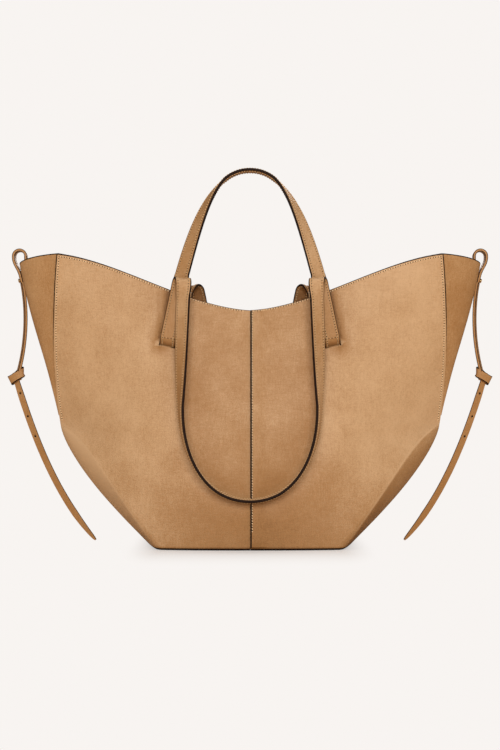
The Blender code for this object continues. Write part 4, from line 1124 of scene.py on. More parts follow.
def build_materials():
    grain = build_grain_group()
    made = {key: leather_material(grain, *finish) for key, finish in FINISHES.items()}
    metal, tree, shader = new_material("stud_metal")
    shader.inputs["Base Color"].default_value = STUD_COLOUR
    shader.inputs["Metallic"].default_value = 1.0
    marks = noise_node(tree, tree.nodes.new("ShaderNodeTexCoord").outputs["Object"], STUD_MARKS)
    tree.links.new(range_node(tree, marks, 0.3, 0.7, *STUD_ROUGHNESS), shader.inputs["Roughness"])
    made["metal"] = metal
    return made


# Body pieces

LAP_PAINT_ROW = 8
SEAM_PAINT_ROW = 13
SLOT_SIDE_ROOM = 0.0005
LEATHER_SMOOTH = 60
STITCH_SMOOTH = 80


def lap_share(height):
    return smooth((height - BASE_RADIUS) / BASE_RADIUS)


def panel_rows(side):
    """Rows of a panel half: the right one steps out over the left one, which has a tongue below it."""
    step = PANEL + GAP
    rows = [body_row(0, BASE_RADIUS + FLANGE)]
    rows += [body_row(height, round_inset(height)) for height in body_heights()]
    shaped = []
    for row in rows:
        height = row[0].z
        row = [point.copy() for point in row]
        if side == RIGHT:
            row[0].x = GAP
            for point in row:
                raised = 1 - smooth((point.x - LAP) / LAP_RUNOUT)
                point.y += step * raised * lap_share(height)
        else:
            tongue = LAP * lap_share(height - BASE_RADIUS)
            row.insert(0, row[0] - Vector((tongue, 0, 0)))
            if height > LAP_SPREAD_HEIGHT:
                row[2] = row[1].lerp(row[3], 0.5)
        shaped.append(row)
    return shaped


def seam_plane(point):
    if abs(point.y - GAP / 2) < GAP / 4:
        return 1
    return None


def slot_cutter(side, face):
    """The slit that a pair of strap ends goes through."""
    reach = strap_reach(PASS_HEIGHT)
    centre = Vector((reach, face_depth(reach, PASS_HEIGHT), PASS_HEIGHT))
    along = Vector((-math.sin(STRAP_LEAN), 0, math.cos(STRAP_LEAN)))
    half_across = slot_across() * (STRAP_WIDTH / 2 + SLOT_SIDE_ROOM)
    half_along = along * (SLOT_OPENING / 2)
    through = Vector((0, STRAP_WIDTH / 2, 0))
    bm = bmesh.new()
    corners = [half_across + half_along, half_across - half_along]
    corners += [-half_across - half_along, -half_across + half_along]
    inner = [bm.verts.new(place(centre + corner - through, side, face)) for corner in corners]
    outer = [bm.verts.new(place(centre + corner + through, side, face)) for corner in corners]
    join_rings(bm, [inner, outer])
    return bm


def cut(piece, bm, materials):
    """Cut a shape out of a piece and keep the result as plain mesh."""
    cutter = add_mesh("cutter", bm, materials)
    made = piece.modifiers.new("opening", "BOOLEAN")
    made.operation = "DIFFERENCE"
    made.solver = "EXACT"
    made.material_mode = "TRANSFER"
    made.object = cutter
    graph = bpy.context.evaluated_depsgraph_get()
    mesh = bpy.data.meshes.new_from_object(piece.evaluated_get(graph), depsgraph=graph)
    piece.modifiers.clear()
    old = piece.data
    piece.data = mesh
    bpy.data.meshes.remove(old)
    bpy.data.objects.remove(cutter, do_unlink=True)


def build_panels(made):
    for face_name, face in FACES.items():
        route = handle_route(face_name)
        for side_name, side in SIDES.items():
            rows = panel_rows(side)
            seam_row = next(i for i, row in enumerate(rows) if row[-1].z >= CORNER_HEIGHT)
            face_end = LAP_COLUMNS + FACE_COLUMNS + SEAM_COLUMNS + (1 if side == LEFT else 0)

            def painted(r, i, row_count):
                rim = r == row_count - 2
                lapped = side == RIGHT and i == 0 and r > LAP_PAINT_ROW
                seam = r >= seam_row + SEAM_PAINT_ROW and i == face_end - 2
                # The rounded bottom rows take the dark edge paint: the base's painted edge together with
                # painted contact shadow along the floor
                base = 1 <= r <= ROUND_ROWS
                return rim or lapped or seam or base

            bm = sheet(rows, 0, PANEL, seam_plane, None, painted)
            name = f"{face_name}_panel_{side_name}"
            tones = bm.verts.layers.float.new("painted_light_and_shade")
            for vert in bm.verts:
                vert[tones] = painted_light_and_shade(vert.co, side, route)
                vert.co.y += sag(vert.co, side, face, route)
            mirrored(bm, side, face)
            materials = [made["panel"], made["lining"], made["edge"]]
            piece = add_mesh(f"{name}_leather", bm, materials, LEATHER_SMOOTH)
            cut(piece, slot_cutter(side, face), [made["edge"]])
            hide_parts(name)
            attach(piece, "bag")


def ridge_point(share):
    """The fold down the middle of a gusset, from the low seam point to the wing's tip."""
    reach = mix(CORNER_REACH, WING_TIP_REACH, share) - RIDGE_WAVE * math.sin(math.tau * share)
    return Vector((reach, 0, mix(CORNER_HEIGHT, WING_TIP_HEIGHT, share)))


def ridge_share(height):
    return (height - CORNER_HEIGHT) / (WING_TIP_HEIGHT - CORNER_HEIGHT)


def ridge_normal():
    run = ridge_point(ridge_share(WING_TIP_HEIGHT)) - ridge_point(ridge_share(STUD_HEIGHT))
    return Vector((run.z, 0, -run.x)).normalized()


def ridge_along():
    normal = ridge_normal()
    return Vector((-normal.z, 0, normal.x))


def stud_point(offset):
    return ridge_point(ridge_share(STUD_HEIGHT)) + ridge_normal() * offset


GUSSET_TONGUE = 0.007
GUSSET_COLUMNS = 14
GUSSET_ROWS = 34
GUSSET_START = 0.055
GUSSET_PAINT_START = 0.994
GUSSET_REACH_CURVE = 1.7
GUSSET_RISE_CURVE = 1.5
GUSSET_NARROW = 0.45
THINNEST_GUSSET = 0.3
STUD_HOLE_RADIUS = 0.002
STUD_HOLE_HALF = 0.0128


def gusset_rows(shares):
    """Rows from the front panel's seam over the ridge to the back panel's seam, with a tongue at each."""
    step = PANEL + LAYER_GAP
    rows = []
    for share in shares:
        height = mix(CORNER_HEIGHT, SEAM_TOP_HEIGHT, share)
        edge = edge_point(height)
        seam = edge - face_normal(height, 1) * step
        seam.y = max(seam.y, GAP)
        ridge = ridge_point(share)
        u = 1 - min(GUSSET_TONGUE, edge.y * GUSSET_NARROW) / edge.x
        half = [face_point(height, u) - face_normal(height, u) * step]
        land = min(RIDGE_LAND, seam.y * GUSSET_NARROW)
        for j in range(GUSSET_COLUMNS + 1):
            w = j / GUSSET_COLUMNS
            reach = mix(ridge.x, seam.x, (1 - w) ** GUSSET_REACH_CURVE)
            half.append(Vector((reach, mix(seam.y, land, w), mix(seam.z, ridge.z, w ** GUSSET_RISE_CURVE))))
        back = [Vector((point.x, -point.y, point.z)) for point in reversed(half)]
        rows.append(half + back)
    return rows


def gusset_wall(point):
    """The gusset's leather, thinned down to its point."""
    return PANEL * max(THINNEST_GUSSET, clamp(clamp(ridge_share(point.z)) / GUSSET_NARROW))


def stud_hole(side):
    centre = place(stud_point(-STUD_HOLE_HALF), side, FRONT)
    return disc(centre, place(ridge_normal(), side, FRONT), STUD_HOLE_RADIUS, STUD_HOLE_HALF * 2)


def at_rim(r, _, row_count):
    return r == row_count - 2


def build_gussets(made):
    shares = [mix(GUSSET_START, 1, k / GUSSET_ROWS) for k in range(GUSSET_ROWS)] + [GUSSET_PAINT_START, 1]
    materials = [made["gusset"], made["lining"], made["edge"]]
    for side_name, side in SIDES.items():
        bm = sheet(gusset_rows(shares), 0, PANEL, None, gusset_wall, at_rim)
        mirrored(bm, side, FRONT)
        piece = add_mesh(f"side_gusset_{side_name}_leather", bm, materials, LEATHER_SMOOTH)
        cut(piece, stud_hole(side), [made["edge"]])
        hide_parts(f"side_gusset_{side_name}")
        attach(piece, "bag")


FACING_ROWS = 7
FACING_COLUMNS = 120


def build_rim_facings(made):
    """The strip inside each rim, following the leather it is sewn to."""
    materials = [made["lining"], made["lining"], made["edge"]]
    for face_name, face in FACES.items():
        route = handle_route(face_name)
        rows = []
        for k in range(FACING_ROWS + 1):
            height = SEAM_TOP_HEIGHT - FACING_HEIGHT * (1 - k / FACING_ROWS)
            row = []
            for j in range(FACING_COLUMNS + 1):
                share = mix(-FACING_REACH, FACING_REACH, j / FACING_COLUMNS)
                point = face_point(height, abs(share))
                point.y += sag(point, RIGHT if share > 0 else LEFT, face, route)
                point.x = math.copysign(point.x, share)
                row.append(point)
            rows.append(row)
        bm = sheet(rows, PANEL + LAYER_GAP, FACING)
        mirrored(bm, RIGHT, face)
        piece = add_mesh(f"rim_facing_{face_name}_leather", bm, materials, LEATHER_SMOOTH)
        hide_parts(f"rim_facing_{face_name}")
        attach(piece, "bag")


RIM_POINTS = 120
SEAM_POINTS = 90
LAP_POINTS = 110
RIM_STITCH_STARTS = {LEFT: 0.03, RIGHT: 0.012}
RIM_STITCH_END = 0.985
SEAM_STITCH_START = 0.004
STITCH_TOP_GAP = 0.006
LAP_STITCH_START = 0.022
LAP_STITCH_INSET = 0.0028


def rim_stitches(bm, side):
    line, ups = [], []
    for k in range(RIM_POINTS):
        u = mix(RIM_STITCH_STARTS[side], RIM_STITCH_END, k / (RIM_POINTS - 1))
        height = SEAM_TOP_HEIGHT - STITCH_INSET
        line.append(face_point(height, u))
        ups.append(face_normal(height, u))
        if side == RIGHT:
            rise = (PANEL + GAP) * (1 - smooth((line[-1].x - LAP) / LAP_RUNOUT))
            line[-1].y += rise
    stitch_run(bm, line, ups)


def gusset_seam_stitches(bm):
    line, ups = [], []
    low, high = CORNER_HEIGHT + SEAM_STITCH_START, SEAM_TOP_HEIGHT - STITCH_TOP_GAP
    for k in range(SEAM_POINTS):
        height = mix(low, high, k / (SEAM_POINTS - 1))
        u = 1 - STITCH_INSET / edge_point(height).x
        line.append(face_point(height, u))
        ups.append(face_normal(height, u))
    stitch_run(bm, line, ups)


def lap_stitches(bm):
    line, ups = [], []
    for k in range(LAP_POINTS):
        height = mix(LAP_STITCH_START, SEAM_TOP_HEIGHT - STITCH_TOP_GAP, k / (LAP_POINTS - 1))
        point = face_point(height, LAP_STITCH_INSET / edge_point(height).x)
        point.y += PANEL + GAP
        line.append(point)
        ups.append(Vector((0, 1, 0)))
    stitch_run(bm, line, ups)


def build_stitching(made):
    """Stitch rows on the outside of each panel half: rim, gusset seam, and the lap of the right half."""
    for face_name, face in FACES.items():
        route = handle_route(face_name)
        for side_name, side in SIDES.items():
            bm = bmesh.new()
            rim_stitches(bm, side)
            gusset_seam_stitches(bm)
            if side == RIGHT:
                lap_stitches(bm)
            for vert in bm.verts:
                vert.co.y += sag(vert.co, side, face, route)
            mirrored(bm, side, face)
            name = f"{face_name}_panel_{side_name}_stitches"
            piece = add_mesh(name, bm, [made["thread"], made["edge"]], STITCH_SMOOTH)
            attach(piece, "bag")


# Handles

STITCH_OFFSET = 0.0031
BARE_STATIONS = 3
TAB_ROW_RISE = 0.0046
TAB_ROW_LIFT = 0.0001
TAB_ROW_HALF = 0.0078
TAB_ROW_STEPS = 8
TAB_STITCH_SHARE = 0.8
TAB_THREAD_SHARE = 0.6

# Tones along the straps: how much darker the leather is, and where along them it changes. The back long
# handle, the strap ends, the legs and loops and the two sides of the standing handle are painted shade
BACK_TONE = 2.1
END_TONE = 1.0
LEG_TONE = 0.35
LOW_TONES = {LEFT: 0.75, RIGHT: 0.45}
LOW_TONE_TOP = 0.30
LOW_TONE_RUN = 0.09
FOLD_TONE_STATIONS = 6
STANDING_TONES = (0.9, 0.25)
STANDING_TONE_START = 0.02
STANDING_TONE_RUN = 0.08
# The standing handle is darker towards the top of its arch
GRIP_TONE = 0.3
GRIP_START = 0.40
GRIP_RUN = 0.05


def strap_stitches(stations, start, end):
    """Four stitch rows on a strap, along both edges of both faces."""
    bm = bmesh.new()
    found = frames(stations)[start:end]
    for row_side in (-1, 1):
        for face_side in (-1, 1):
            points, ups = [], []
            for centre, _, across, up, share in found:
                out = (STRAP_WIDTH / 2 - STITCH_OFFSET) * row_side * share
                points.append(centre + across * out + up * face_side * (STRAP_LOOK / 2))
                ups.append(up * face_side)
            stitch_run(bm, points, ups)
    return bm


def tab_crossings(name, ends, face):
    """The short row sewn across each outer strap end, just above its slit."""
    if not name.startswith("long_handle"):
        return []
    found = frames(ends)
    centre, _, across, _, _ = min(found, key=lambda station: abs(station[0].z - PASS_HEIGHT - TAB_ROW_RISE))
    outward = Vector((0, 1, 0))
    lines = []
    for side in SIDES.values():
        points = []
        for k in range(TAB_ROW_STEPS + 1):
            along_row = across * mix(-TAB_ROW_HALF, TAB_ROW_HALF, k / TAB_ROW_STEPS)
            points.append(place(centre + outward * (STRAP_LOOK / 2 + TAB_ROW_LIFT) + along_row, side, face))
        lines.append((points, [place(outward, side, face)] * len(points)))
    return lines


def strap_tones(name, stations, ends_count):
    """How dark the strap is along its length: painted shade, and the standing handle darker towards its top.
    """
    tones = []
    count = len(stations)
    for i, (centre, _, _) in enumerate(stations):
        from_end = min(i, count - 1 - i)
        if name == "long_handle_back":
            tone = BACK_TONE
        elif name.startswith("long_handle"):
            past_fold = smooth((from_end - ends_count) / FOLD_TONE_STATIONS)
            low = smooth((LOW_TONE_TOP - centre.z) / LOW_TONE_RUN)
            lowest = LOW_TONES[RIGHT if centre.x > 0 else LEFT]
            tone = mix(END_TONE, mix(LEG_TONE, lowest, low), past_fold)
        else:
            tone = mix(*STANDING_TONES, smooth((centre.x + STANDING_TONE_START) / STANDING_TONE_RUN))
            tone += GRIP_TONE * smooth((centre.z - GRIP_START) / GRIP_RUN)
        tones.append(tone)
    return tones


def lay_strap(name, stations, tones, part, crossings, made, place_piece, nodes):
    """Part of a strap and its stitches, put on a body or left with its transform baked."""
    bm = strap(stations, STRAP_WIDTH, STRAP_LOOK, None, tones, EDGE_TURN, part)
    piece = add_mesh(f"{name}_strap", bm, [made["strap"], made["edge"]], LEATHER_SMOOTH)
    if nodes:
        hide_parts(*nodes)
    first = max(BARE_STATIONS, part[0])
    last = min(part[1], len(stations) - 1 - BARE_STATIONS)
    bm = strap_stitches(stations, first, last + 1)
    for points, ups in crossings:
        stitch_run(bm, points, ups, STITCH_LENGTH * TAB_STITCH_SHARE, THREAD_RADIUS * TAB_THREAD_SHARE)
    thread = add_mesh(f"{name}_stitches", bm, [made["strap_thread"], made["edge"]], STITCH_SMOOTH)
    for item in (piece, thread):
        place_piece(item)


def standing_handle(name, ends, half, face, made):
    """A handle that stands up from its slits, its ends rising to the hinge height of the solids, laid as one
    strap with its transform baked.
    """
    stations = whole_strap(ends, half, face)
    tones = strap_tones(name, stations, len(ends))
    lay_strap(name, stations, tones, (0, len(stations) - 1), [], made,
              lambda item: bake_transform(item),
              (name, f"{name}_end_left", f"{name}_end_right"))


def folded_handle(name, ends, half, face, made):
    """A handle folded over above the rim: two ends on the bag, two folds with their transforms baked, a loop
    that swings.
    """
    stations = whole_strap(ends, half, face)
    tones = strap_tones(name, stations, len(ends))
    last = len(stations) - 1
    leave, settle = len(ends) - BARE_STATIONS, len(ends) + FOLD_STEPS
    crossings = tab_crossings(name, ends, face)
    for side_name, flip in (("left", False), ("right", True)):
        def along(first, second):
            return (last - second, last - first) if flip else (first, second)

        own = crossings[1:] if flip else crossings[:1]
        lay_strap(f"{name}_end_{side_name}", stations, tones, along(0, leave), own, made,
                  lambda item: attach(item, "bag"), (f"{name}_end_{side_name}",))
        lay_strap(f"{name}_fold_{side_name}", stations, tones, along(leave, settle), [], made,
                  lambda item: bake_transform(item), ())
    lay_strap(name, stations, tones, (settle, last - settle), [], made,
              lambda item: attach(item, name), (name,))


def build_handles(made):
    ends, half = short_front_half()
    standing_handle("short_handle_front", ends, half, FRONT, made)
    ends, half = short_back_half()
    folded_handle("short_handle_back", ends, half, BACK, made)
    for face_name, face in FACES.items():
        ends, half = long_half(face_name)
        folded_handle(f"long_handle_{face_name}", ends, half, face, made)


# Ties

LOOP_CENTRE = Vector((0.2906, 0, 0.3609))
LOOP_RADIUS = 0.0075
LOOP_TURN = math.radians(-3)
TIE_INSIDE_TOP = TIE_INSIDE_END * 0.7
INSIDE_STEPS = 8
RISE_STEPS = 8
OVER_STEPS = 16
DOWN_STEPS = 18
LOOP_INSIDE_PULL = 0.005
LOOP_DOWN_PULL = Vector((-0.0005, 0, 0.011))
LOOP_FOOT = 0.004
LOOP_FOOT_PULL = 0.012
EYE_STATIONS = (0.002, 0.0, -0.0022, -0.0038, -0.0047, -0.0051)
EYE_WIDEST = 1.1
EYE_TIP = 0.02
HANG_ROOM = 0.0003
HANG_START = 0.003
HANG_END = Vector((0.2922, 0, 0.2160))
HANG_SWAY = -0.010
HANG_PULL_SHARE = 0.9
HANG_STEPS = 30
HANG_TURNS = (math.radians(22), math.radians(23))
KNOT_RIGHT = (Vector((0.2866, 0, 0.2141)), Vector((0, 0, -1)), 0.0128)
KNOT_LEFT = (Vector((0.3030, 0, 0.2040)), Vector((-0.47, 0, -0.88)), 0.0120)
KNOT_WIDTH = 0.0124
KNOT_STEPS = 48
KNOT_BOW = 0.0044
KNOT_SQUARENESS = 0.75
KNOT_EASE = 0.4
KNOT_BACK_RISE = 0.0036
KNOT_BACK_DROP = 0.0012
KNOT_FLARE = 0.36
KNOT_PINCH = 0.07
KNOT_CORE_OUTLINE = ((0.45, 0.30), (-0.45, 0.62), (-0.72, 0.10), (-0.66, -0.52), (0.20, -0.66), (0.55, -0.15))
KNOT_CORE_RINGS = ((-0.0034, 0.8), (-0.0022, 1), (0.0022, 1), (0.0034, 0.8))
TAIL_START = Vector((0.2956, 0, 0.2060))
TAIL_STEPS = 60
TAIL_TURN = math.radians(24)
TAIL_TIP_WIDTH = 0.16
TAIL_KNOT_WIDTH = 0.86
TAIL_KNOT_RUN = 0.12
TAIL_HOLES = (0.06, 0.19, 0.32)
HOLE_START = 0.028
HOLE_SPAN = 0.97
PUNCH_SIDES = 16
PUNCH_HALF = 0.003
FILLING_HALF = 0.0003
FILLING_ROOM = 0.0001


def edgewise(points, turns):
    """Stations of a strap that stands on edge to the front, its outer side opened a little."""
    stations = []
    last = len(points) - 1
    for i, point in enumerate(points):
        along = (points[min(i + 1, last)] - points[max(i - 1, 0)]).normalized()
        up = along.cross(Vector((0, 1, 0))).normalized()
        turn = turns[i]
        stations.append((point, Vector((0, math.cos(turn), 0)) - up * math.sin(turn), 1))
    return stations


def tie_loop():
    """From inside the wing, over the loop and down to the eye under the stud."""
    inner = -(PANEL + FACING + LAYER_GAP * 2 + TIE_BODY / 2)
    outer = GAP + TIE_BODY / 2
    along = ridge_along()
    points = []
    for k in range(INSIDE_STEPS + 1):
        reach = mix(-TIE_INSIDE_END, TIE_INSIDE_TOP, k / INSIDE_STEPS)
        points.append(stud_point(inner) + along * reach)
    rim_in = points[-1]
    right = LOOP_CENTRE - Vector((LOOP_RADIUS, 0, 0))
    left = LOOP_CENTRE + Vector((LOOP_RADIUS, 0, 0))
    below = Vector((0, 0, LOOP_INSIDE_PULL))
    for k in range(1, RISE_STEPS):
        points.append(bezier(rim_in, rim_in + along * LOOP_INSIDE_PULL, right - below, right, k / RISE_STEPS))
    for k in range(OVER_STEPS + 1):
        turn = math.pi * k / OVER_STEPS
        points.append(LOOP_CENTRE + Vector((-math.cos(turn), 0, math.sin(turn))) * LOOP_RADIUS)
    foot = stud_point(outer) + along * LOOP_FOOT
    left_pull, foot_pull = left - LOOP_DOWN_PULL, foot + along * LOOP_FOOT_PULL
    for k in range(1, DOWN_STEPS + 1):
        points.append(bezier(left, left_pull, foot_pull, foot, k / DOWN_STEPS))
    stations = edgewise(points, [LOOP_TURN] * len(points))
    for reach in EYE_STATIONS:
        chord = math.sqrt(max(EYE_TIP, 1 - (min(0, reach) / EYE_RADIUS) ** 2))
        wide = chord * 2 * EYE_RADIUS / TIE_WIDTH
        stations.append((stud_point(outer) + along * reach, Vector((0, 1, 0)), min(EYE_WIDEST, wide)))
    return stations


def hanging_tie():
    """From under the eye down to the knot, turning from its edge towards its face."""
    along = ridge_along()
    start = stud_point(GAP + TIE_BODY / 2 + HANG_ROOM) - along * HANG_START
    pull = (start.z - HANG_END.z) / 3
    start_pull = start - along * pull * HANG_PULL_SHARE
    end_pull = HANG_END + Vector((HANG_SWAY, 0, pull))
    points = [bezier(start, start_pull, end_pull, HANG_END, k / HANG_STEPS) for k in range(HANG_STEPS + 1)]
    turns = [mix(*HANG_TURNS, k / HANG_STEPS) for k in range(HANG_STEPS + 1)]
    return edgewise(points, turns)


def knot_band():
    """The band of the knot: flat across the front, folded at both ends, higher behind."""
    stations = []
    for k in range(KNOT_STEPS + 1):
        turn = math.tau * k / KNOT_STEPS - QUARTER_TURN
        share = (1 - math.cos(turn)) / 2
        share = mix(share, smooth(share), KNOT_EASE)
        centre = KNOT_RIGHT[0].lerp(KNOT_LEFT[0], share)
        bow = math.copysign(abs(math.sin(turn)) ** KNOT_SQUARENESS, math.sin(turn))
        centre.y = bow * KNOT_BOW
        behind = max(0, -math.sin(turn))
        centre.z += KNOT_BACK_RISE * behind * (1 - share) ** 2 - KNOT_BACK_DROP * behind * share
        across = KNOT_RIGHT[1].lerp(KNOT_LEFT[1], share).normalized()
        across.y = KNOT_FLARE * bow
        width = mix(KNOT_RIGHT[2], KNOT_LEFT[2], share) * (1 - KNOT_PINCH * max(0, bow))
        stations.append((centre, across, width / KNOT_WIDTH))
    return stations


def knot_core():
    """What fills the band: the turned strap inside the knot."""
    bm = bmesh.new()
    rings = []
    for depth, size in KNOT_CORE_RINGS:
        ring = []
        for x, z in KNOT_CORE_OUTLINE:
            reach = KNOT_REACH + x * KNOT_HALF_WIDTH * size
            ring.append(bm.verts.new(Vector((reach, depth, KNOT_HEIGHT + z * KNOT_HALF_HEIGHT * size))))
        rings.append(ring)
    join_rings(bm, rings)
    return bm


def tail():
    """From inside the knot to the pointed tip."""
    tip = Vector((TAIL_TIP_REACH, 0, TAIL_TIP_HEIGHT))
    length = (TAIL_START - tip).length
    span = length / 3
    start_pull = TAIL_START - Vector((math.sin(TAIL_LEAN), 0, math.cos(TAIL_LEAN))) * span
    tip_pull = tip + Vector((math.sin(TAIL_TIP_LEAN), 0, math.cos(TAIL_TIP_LEAN))) * span
    points = [bezier(TAIL_START, start_pull, tip_pull, tip, k / TAIL_STEPS) for k in range(TAIL_STEPS + 1)]
    stations = []
    for k, point in enumerate(points):
        run = points[min(k + 1, TAIL_STEPS)] - points[max(k - 1, 0)]
        across = Vector((-run.z, 0, run.x)).normalized()
        left = length * (1 - k / TAIL_STEPS)
        wide = TAIL_TIP_WIDTH + (1 - TAIL_TIP_WIDTH) * math.sqrt(clamp(left / TAIL_TAPER))
        wide *= mix(TAIL_KNOT_WIDTH, 1, smooth(k / TAIL_STEPS / TAIL_KNOT_RUN))
        turned = across * math.cos(TAIL_TURN) - Vector((0, math.sin(TAIL_TURN), 0))
        stations.append((point, turned, wide))
    return stations


def punched(stations):
    """Centre and direction of the holes punched through the tail."""
    found = frames(stations)
    spots = []
    for share in TAIL_HOLES:
        centre, _, _, up, _ = found[round((HOLE_START + share * HOLE_SPAN) * (len(found) - 1))]
        spots.append((centre, up))
    return spots


STUD_PROFILE = ((0.0015, -0.0004), (0.0015, 0.0003), (0.0019, 0.0004), (0.0026, 0.0008), (0.0029, 0.0013),
                (0.0028, 0.0019), (0.0023, 0.0024), (0.0014, 0.0027), (0.0005, 0.0028))
STUD_BACK_PROFILE = ((0.0044, 0.0), (0.0046, -0.0003), (0.0046, -0.0008), (0.0042, -0.0011),
                     (0.0012, -0.0012))


def build_ties(made):
    leather, metal = [made["tie"], made["edge"]], [made["metal"]]
    body_section = tie_section(TIE_WIDTH, TIE_BODY)
    band_section = tie_section(KNOT_WIDTH, TIE_THICKNESS)
    tail_section = tie_section(TIE_WIDTH, TAIL_BODY)
    for side_name, side in SIDES.items():
        body = f"side_tie_{side_name}"

        def lay(name, bm, materials, ride_on, node):
            piece = add_mesh(name, bm, materials, LEATHER_SMOOTH)
            if node:
                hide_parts(node)
            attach(piece, ride_on)
            return piece

        stations = map_stations(tie_loop(), side, FRONT)
        bm = strap(stations, TIE_WIDTH, TIE_BODY, body_section, turned=TIE_EDGE_TURN)
        lay(f"tie_loop_{side_name}_strap", bm, leather, "bag", f"tie_loop_{side_name}")
        stations = map_stations(hanging_tie(), side, FRONT)
        bm = strap(stations, TIE_WIDTH, TIE_BODY, body_section, turned=TIE_EDGE_TURN)
        lay(f"side_tie_{side_name}_strap", bm, leather, body, f"side_tie_{side_name}")
        stations = map_stations(knot_band(), side, FRONT)
        bm = strap(stations, KNOT_WIDTH, TIE_THICKNESS, band_section, turned=KNOT_EDGE_TURN)
        lay(f"tie_knot_{side_name}_band", bm, leather, body, f"tie_knot_{side_name}")
        bm = mirrored(knot_core(), side, FRONT)
        lay(f"tie_knot_{side_name}_core", bm, leather, body, None)
        stations = map_stations(tail(), side, FRONT)
        bm = strap(stations, TIE_WIDTH, TAIL_BODY, tail_section)
        end = lay(f"tie_tail_{side_name}_strap", bm, leather, body, f"tie_tail_{side_name}")
        filling = bmesh.new()
        for centre, up in punched(stations):
            hole = disc(centre - up * PUNCH_HALF, up, PUNCH_RADIUS, PUNCH_HALF * 2, PUNCH_SIDES)
            cut(end, hole, [made["edge"]])
            radius = PUNCH_RADIUS + FILLING_ROOM
            disc(centre - up * FILLING_HALF, up, radius, FILLING_HALF * 2, PUNCH_SIDES, filling)
        lay(f"tie_tail_{side_name}_holes", filling, [made["edge"]], body, None)
        direction = place(ridge_normal(), side, FRONT)
        head = place(stud_point(GAP + TIE_BODY), side, FRONT)
        lay(f"tie_stud_{side_name}_head", turned_profile(head, direction, STUD_PROFILE), metal,
            "bag", f"tie_stud_{side_name}")
        back = place(stud_point(-(PANEL + FACING + LAYER_GAP * 3 + TIE_BODY)), side, FRONT)
        lay(f"stud_back_{side_name}_cap", turned_profile(back, direction, STUD_BACK_PROFILE), metal,
            "bag", f"stud_back_{side_name}")


# Floor, backdrop and light

BACKDROP = (0.938, 0.905, 0.880, 1)
FLOOR_SEEN = (0.90, 0.885, 0.865, 1)
FLOOR_LIT = (0.58, 0.43, 0.28, 1)
FLOOR_ROUGHNESS = 0.9
FLOOR_RADII = (0.4, 0.8, 1.6, 3.0, 6.0)
FLOOR_SIDES = 48
ROOM_COLOUR = (1.0, 0.93, 0.84, 1)
ROOM_STRENGTH = 0.20

# The bag's shade on the floor: its half size each way, and how far it fades out
SHADE = (("X", 0.108, 0.050), ("Y", BASE_HALF_DEPTH, 0.13))
SHADE_FROM, SHADE_TO = -0.6, 0.9

# Each lamp: name, place, what it points at, size, power
LAMPS = (("front_softbox", (0.06, -2.5, 0.80), (0, 0, 0.2), (1.8, 0.9), 52),
         ("top_softbox", (0.1, 0.1, 2.3), (0, 0, 0.1), (1.8, 1.8), 22),
         ("back_softbox", (0.4, 2.2, 1.3), (0, 0, 0.2), (1.8, 1.4), 36))


def floor_disc():
    bm = bmesh.new()
    middle = bm.verts.new((0, 0, 0))
    rings = []
    for radius in FLOOR_RADII:
        ring = []
        for k in range(FLOOR_SIDES):
            turn = math.tau * k / FLOOR_SIDES
            ring.append(bm.verts.new((radius * math.cos(turn), radius * math.sin(turn), 0)))
        rings.append(ring)
    for k in range(FLOOR_SIDES):
        bm.faces.new([middle, rings[0][k], rings[0][(k + 1) % FLOOR_SIDES]])
    for low, high in zip(rings, rings[1:]):
        for k in range(FLOOR_SIDES):
            j = (k + 1) % FLOOR_SIDES
            bm.faces.new([low[k], high[k], high[j], low[j]])
    return bm


def seen_itself(tree, path):
    """One where the camera sees a surface straight or through glass, nought for the light it gives."""
    return math_node(tree, "MAXIMUM", path.outputs["Is Camera Ray"], path.outputs["Is Transmission Ray"])


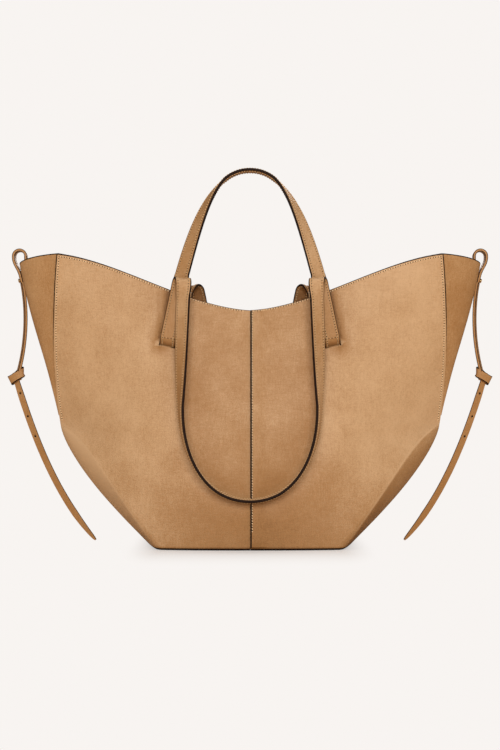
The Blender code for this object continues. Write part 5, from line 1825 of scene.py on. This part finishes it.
def build_floor():
    """A floor that takes the bag's shade near it and runs into the backdrop farther out."""
    material, tree, shader = new_material("pale_floor")
    shader.inputs["Roughness"].default_value = FLOOR_ROUGHNESS
    shader.inputs["Specular IOR Level"].default_value = 0.0
    out = tree.nodes["Material Output"]
    glow = tree.nodes.new("ShaderNodeEmission")
    glow.inputs["Color"].default_value = BACKDROP
    where = tree.nodes.new("ShaderNodeTexCoord").outputs["Object"]
    split = tree.nodes.new("ShaderNodeSeparateXYZ")
    tree.links.new(where, split.inputs[0])
    outside = []
    for axis, half, fade in SHADE:
        gap = math_node(tree, "SUBTRACT", math_node(tree, "ABSOLUTE", split.outputs[axis]), half)
        gap = math_node(tree, "DIVIDE", math_node(tree, "MAXIMUM", gap, 0.0), fade)
        outside.append(math_node(tree, "MULTIPLY", gap, gap))
    reach = math_node(tree, "SQRT", math_node(tree, "ADD", *outside))
    far = range_node(tree, reach, SHADE_FROM, SHADE_TO, 0.0, 1.0)
    path = tree.nodes.new("ShaderNodeLightPath")
    paint = colour_mix(tree, path.outputs["Is Camera Ray"], FLOOR_LIT, FLOOR_SEEN)
    tree.links.new(paint, shader.inputs["Base Color"])
    blend = tree.nodes.new("ShaderNodeMixShader")
    tree.links.new(math_node(tree, "MULTIPLY", far, seen_itself(tree, path)), blend.inputs[0])
    tree.links.new(shader.outputs[0], blend.inputs[1])
    tree.links.new(glow.outputs[0], blend.inputs[2])
    tree.links.new(blend.outputs[0], out.inputs["Surface"])
    add_mesh("floor", floor_disc(), [material])


def build_room():
    """Soft warm light from all round, behind a plain pale backdrop."""
    world = bpy.data.worlds.new("studio")
    bpy.context.scene.world = world
    world.use_nodes = True
    tree = world.node_tree
    back = tree.nodes["Background"]
    back.inputs["Color"].default_value = ROOM_COLOUR
    back.inputs["Strength"].default_value = ROOM_STRENGTH
    shown = tree.nodes.new("ShaderNodeBackground")
    shown.inputs["Color"].default_value = BACKDROP
    shown.inputs["Strength"].default_value = 1.0
    blend = tree.nodes.new("ShaderNodeMixShader")
    tree.links.new(seen_itself(tree, tree.nodes.new("ShaderNodeLightPath")), blend.inputs[0])
    tree.links.new(back.outputs[0], blend.inputs[1])
    tree.links.new(shown.outputs[0], blend.inputs[2])
    tree.links.new(blend.outputs[0], tree.nodes["World Output"].inputs["Surface"])


def add_lamp(name, location, target, size, power):
    data = bpy.data.lights.new(name, "AREA")
    data.shape = "RECTANGLE"
    data.size, data.size_y = size
    data.energy = power
    lamp = bpy.data.objects.new(name, data)
    lamp.location = location
    aim = Vector(target) - Vector(location)
    lamp.rotation_euler = aim.to_track_quat("-Z", "Y").to_euler()
    bpy.context.scene.collection.objects.link(lamp)


def solid_finish(name):
    """Finish of a solid that shows as it is."""
    if "facing" in name or "patch" in name:
        return "lining"
    if name == "base_board":
        return "board"
    if "stud" in name:
        return "metal"
    return "panel" if name == "base_panel" else "tie"


def main():
    scene = bpy.context.scene
    scene.view_settings.view_transform = "Standard"
    add_camera()
    made = build_materials()
    build_panels(made)
    build_gussets(made)
    build_rim_facings(made)
    build_stitching(made)
    build_handles(made)
    build_ties(made)
    for name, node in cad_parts.items():
        for slot in node.material_slots:
            slot.material = made[solid_finish(name)]
    build_floor()
    build_room()
    for lamp in LAMPS:
        add_lamp(*lamp)


main()
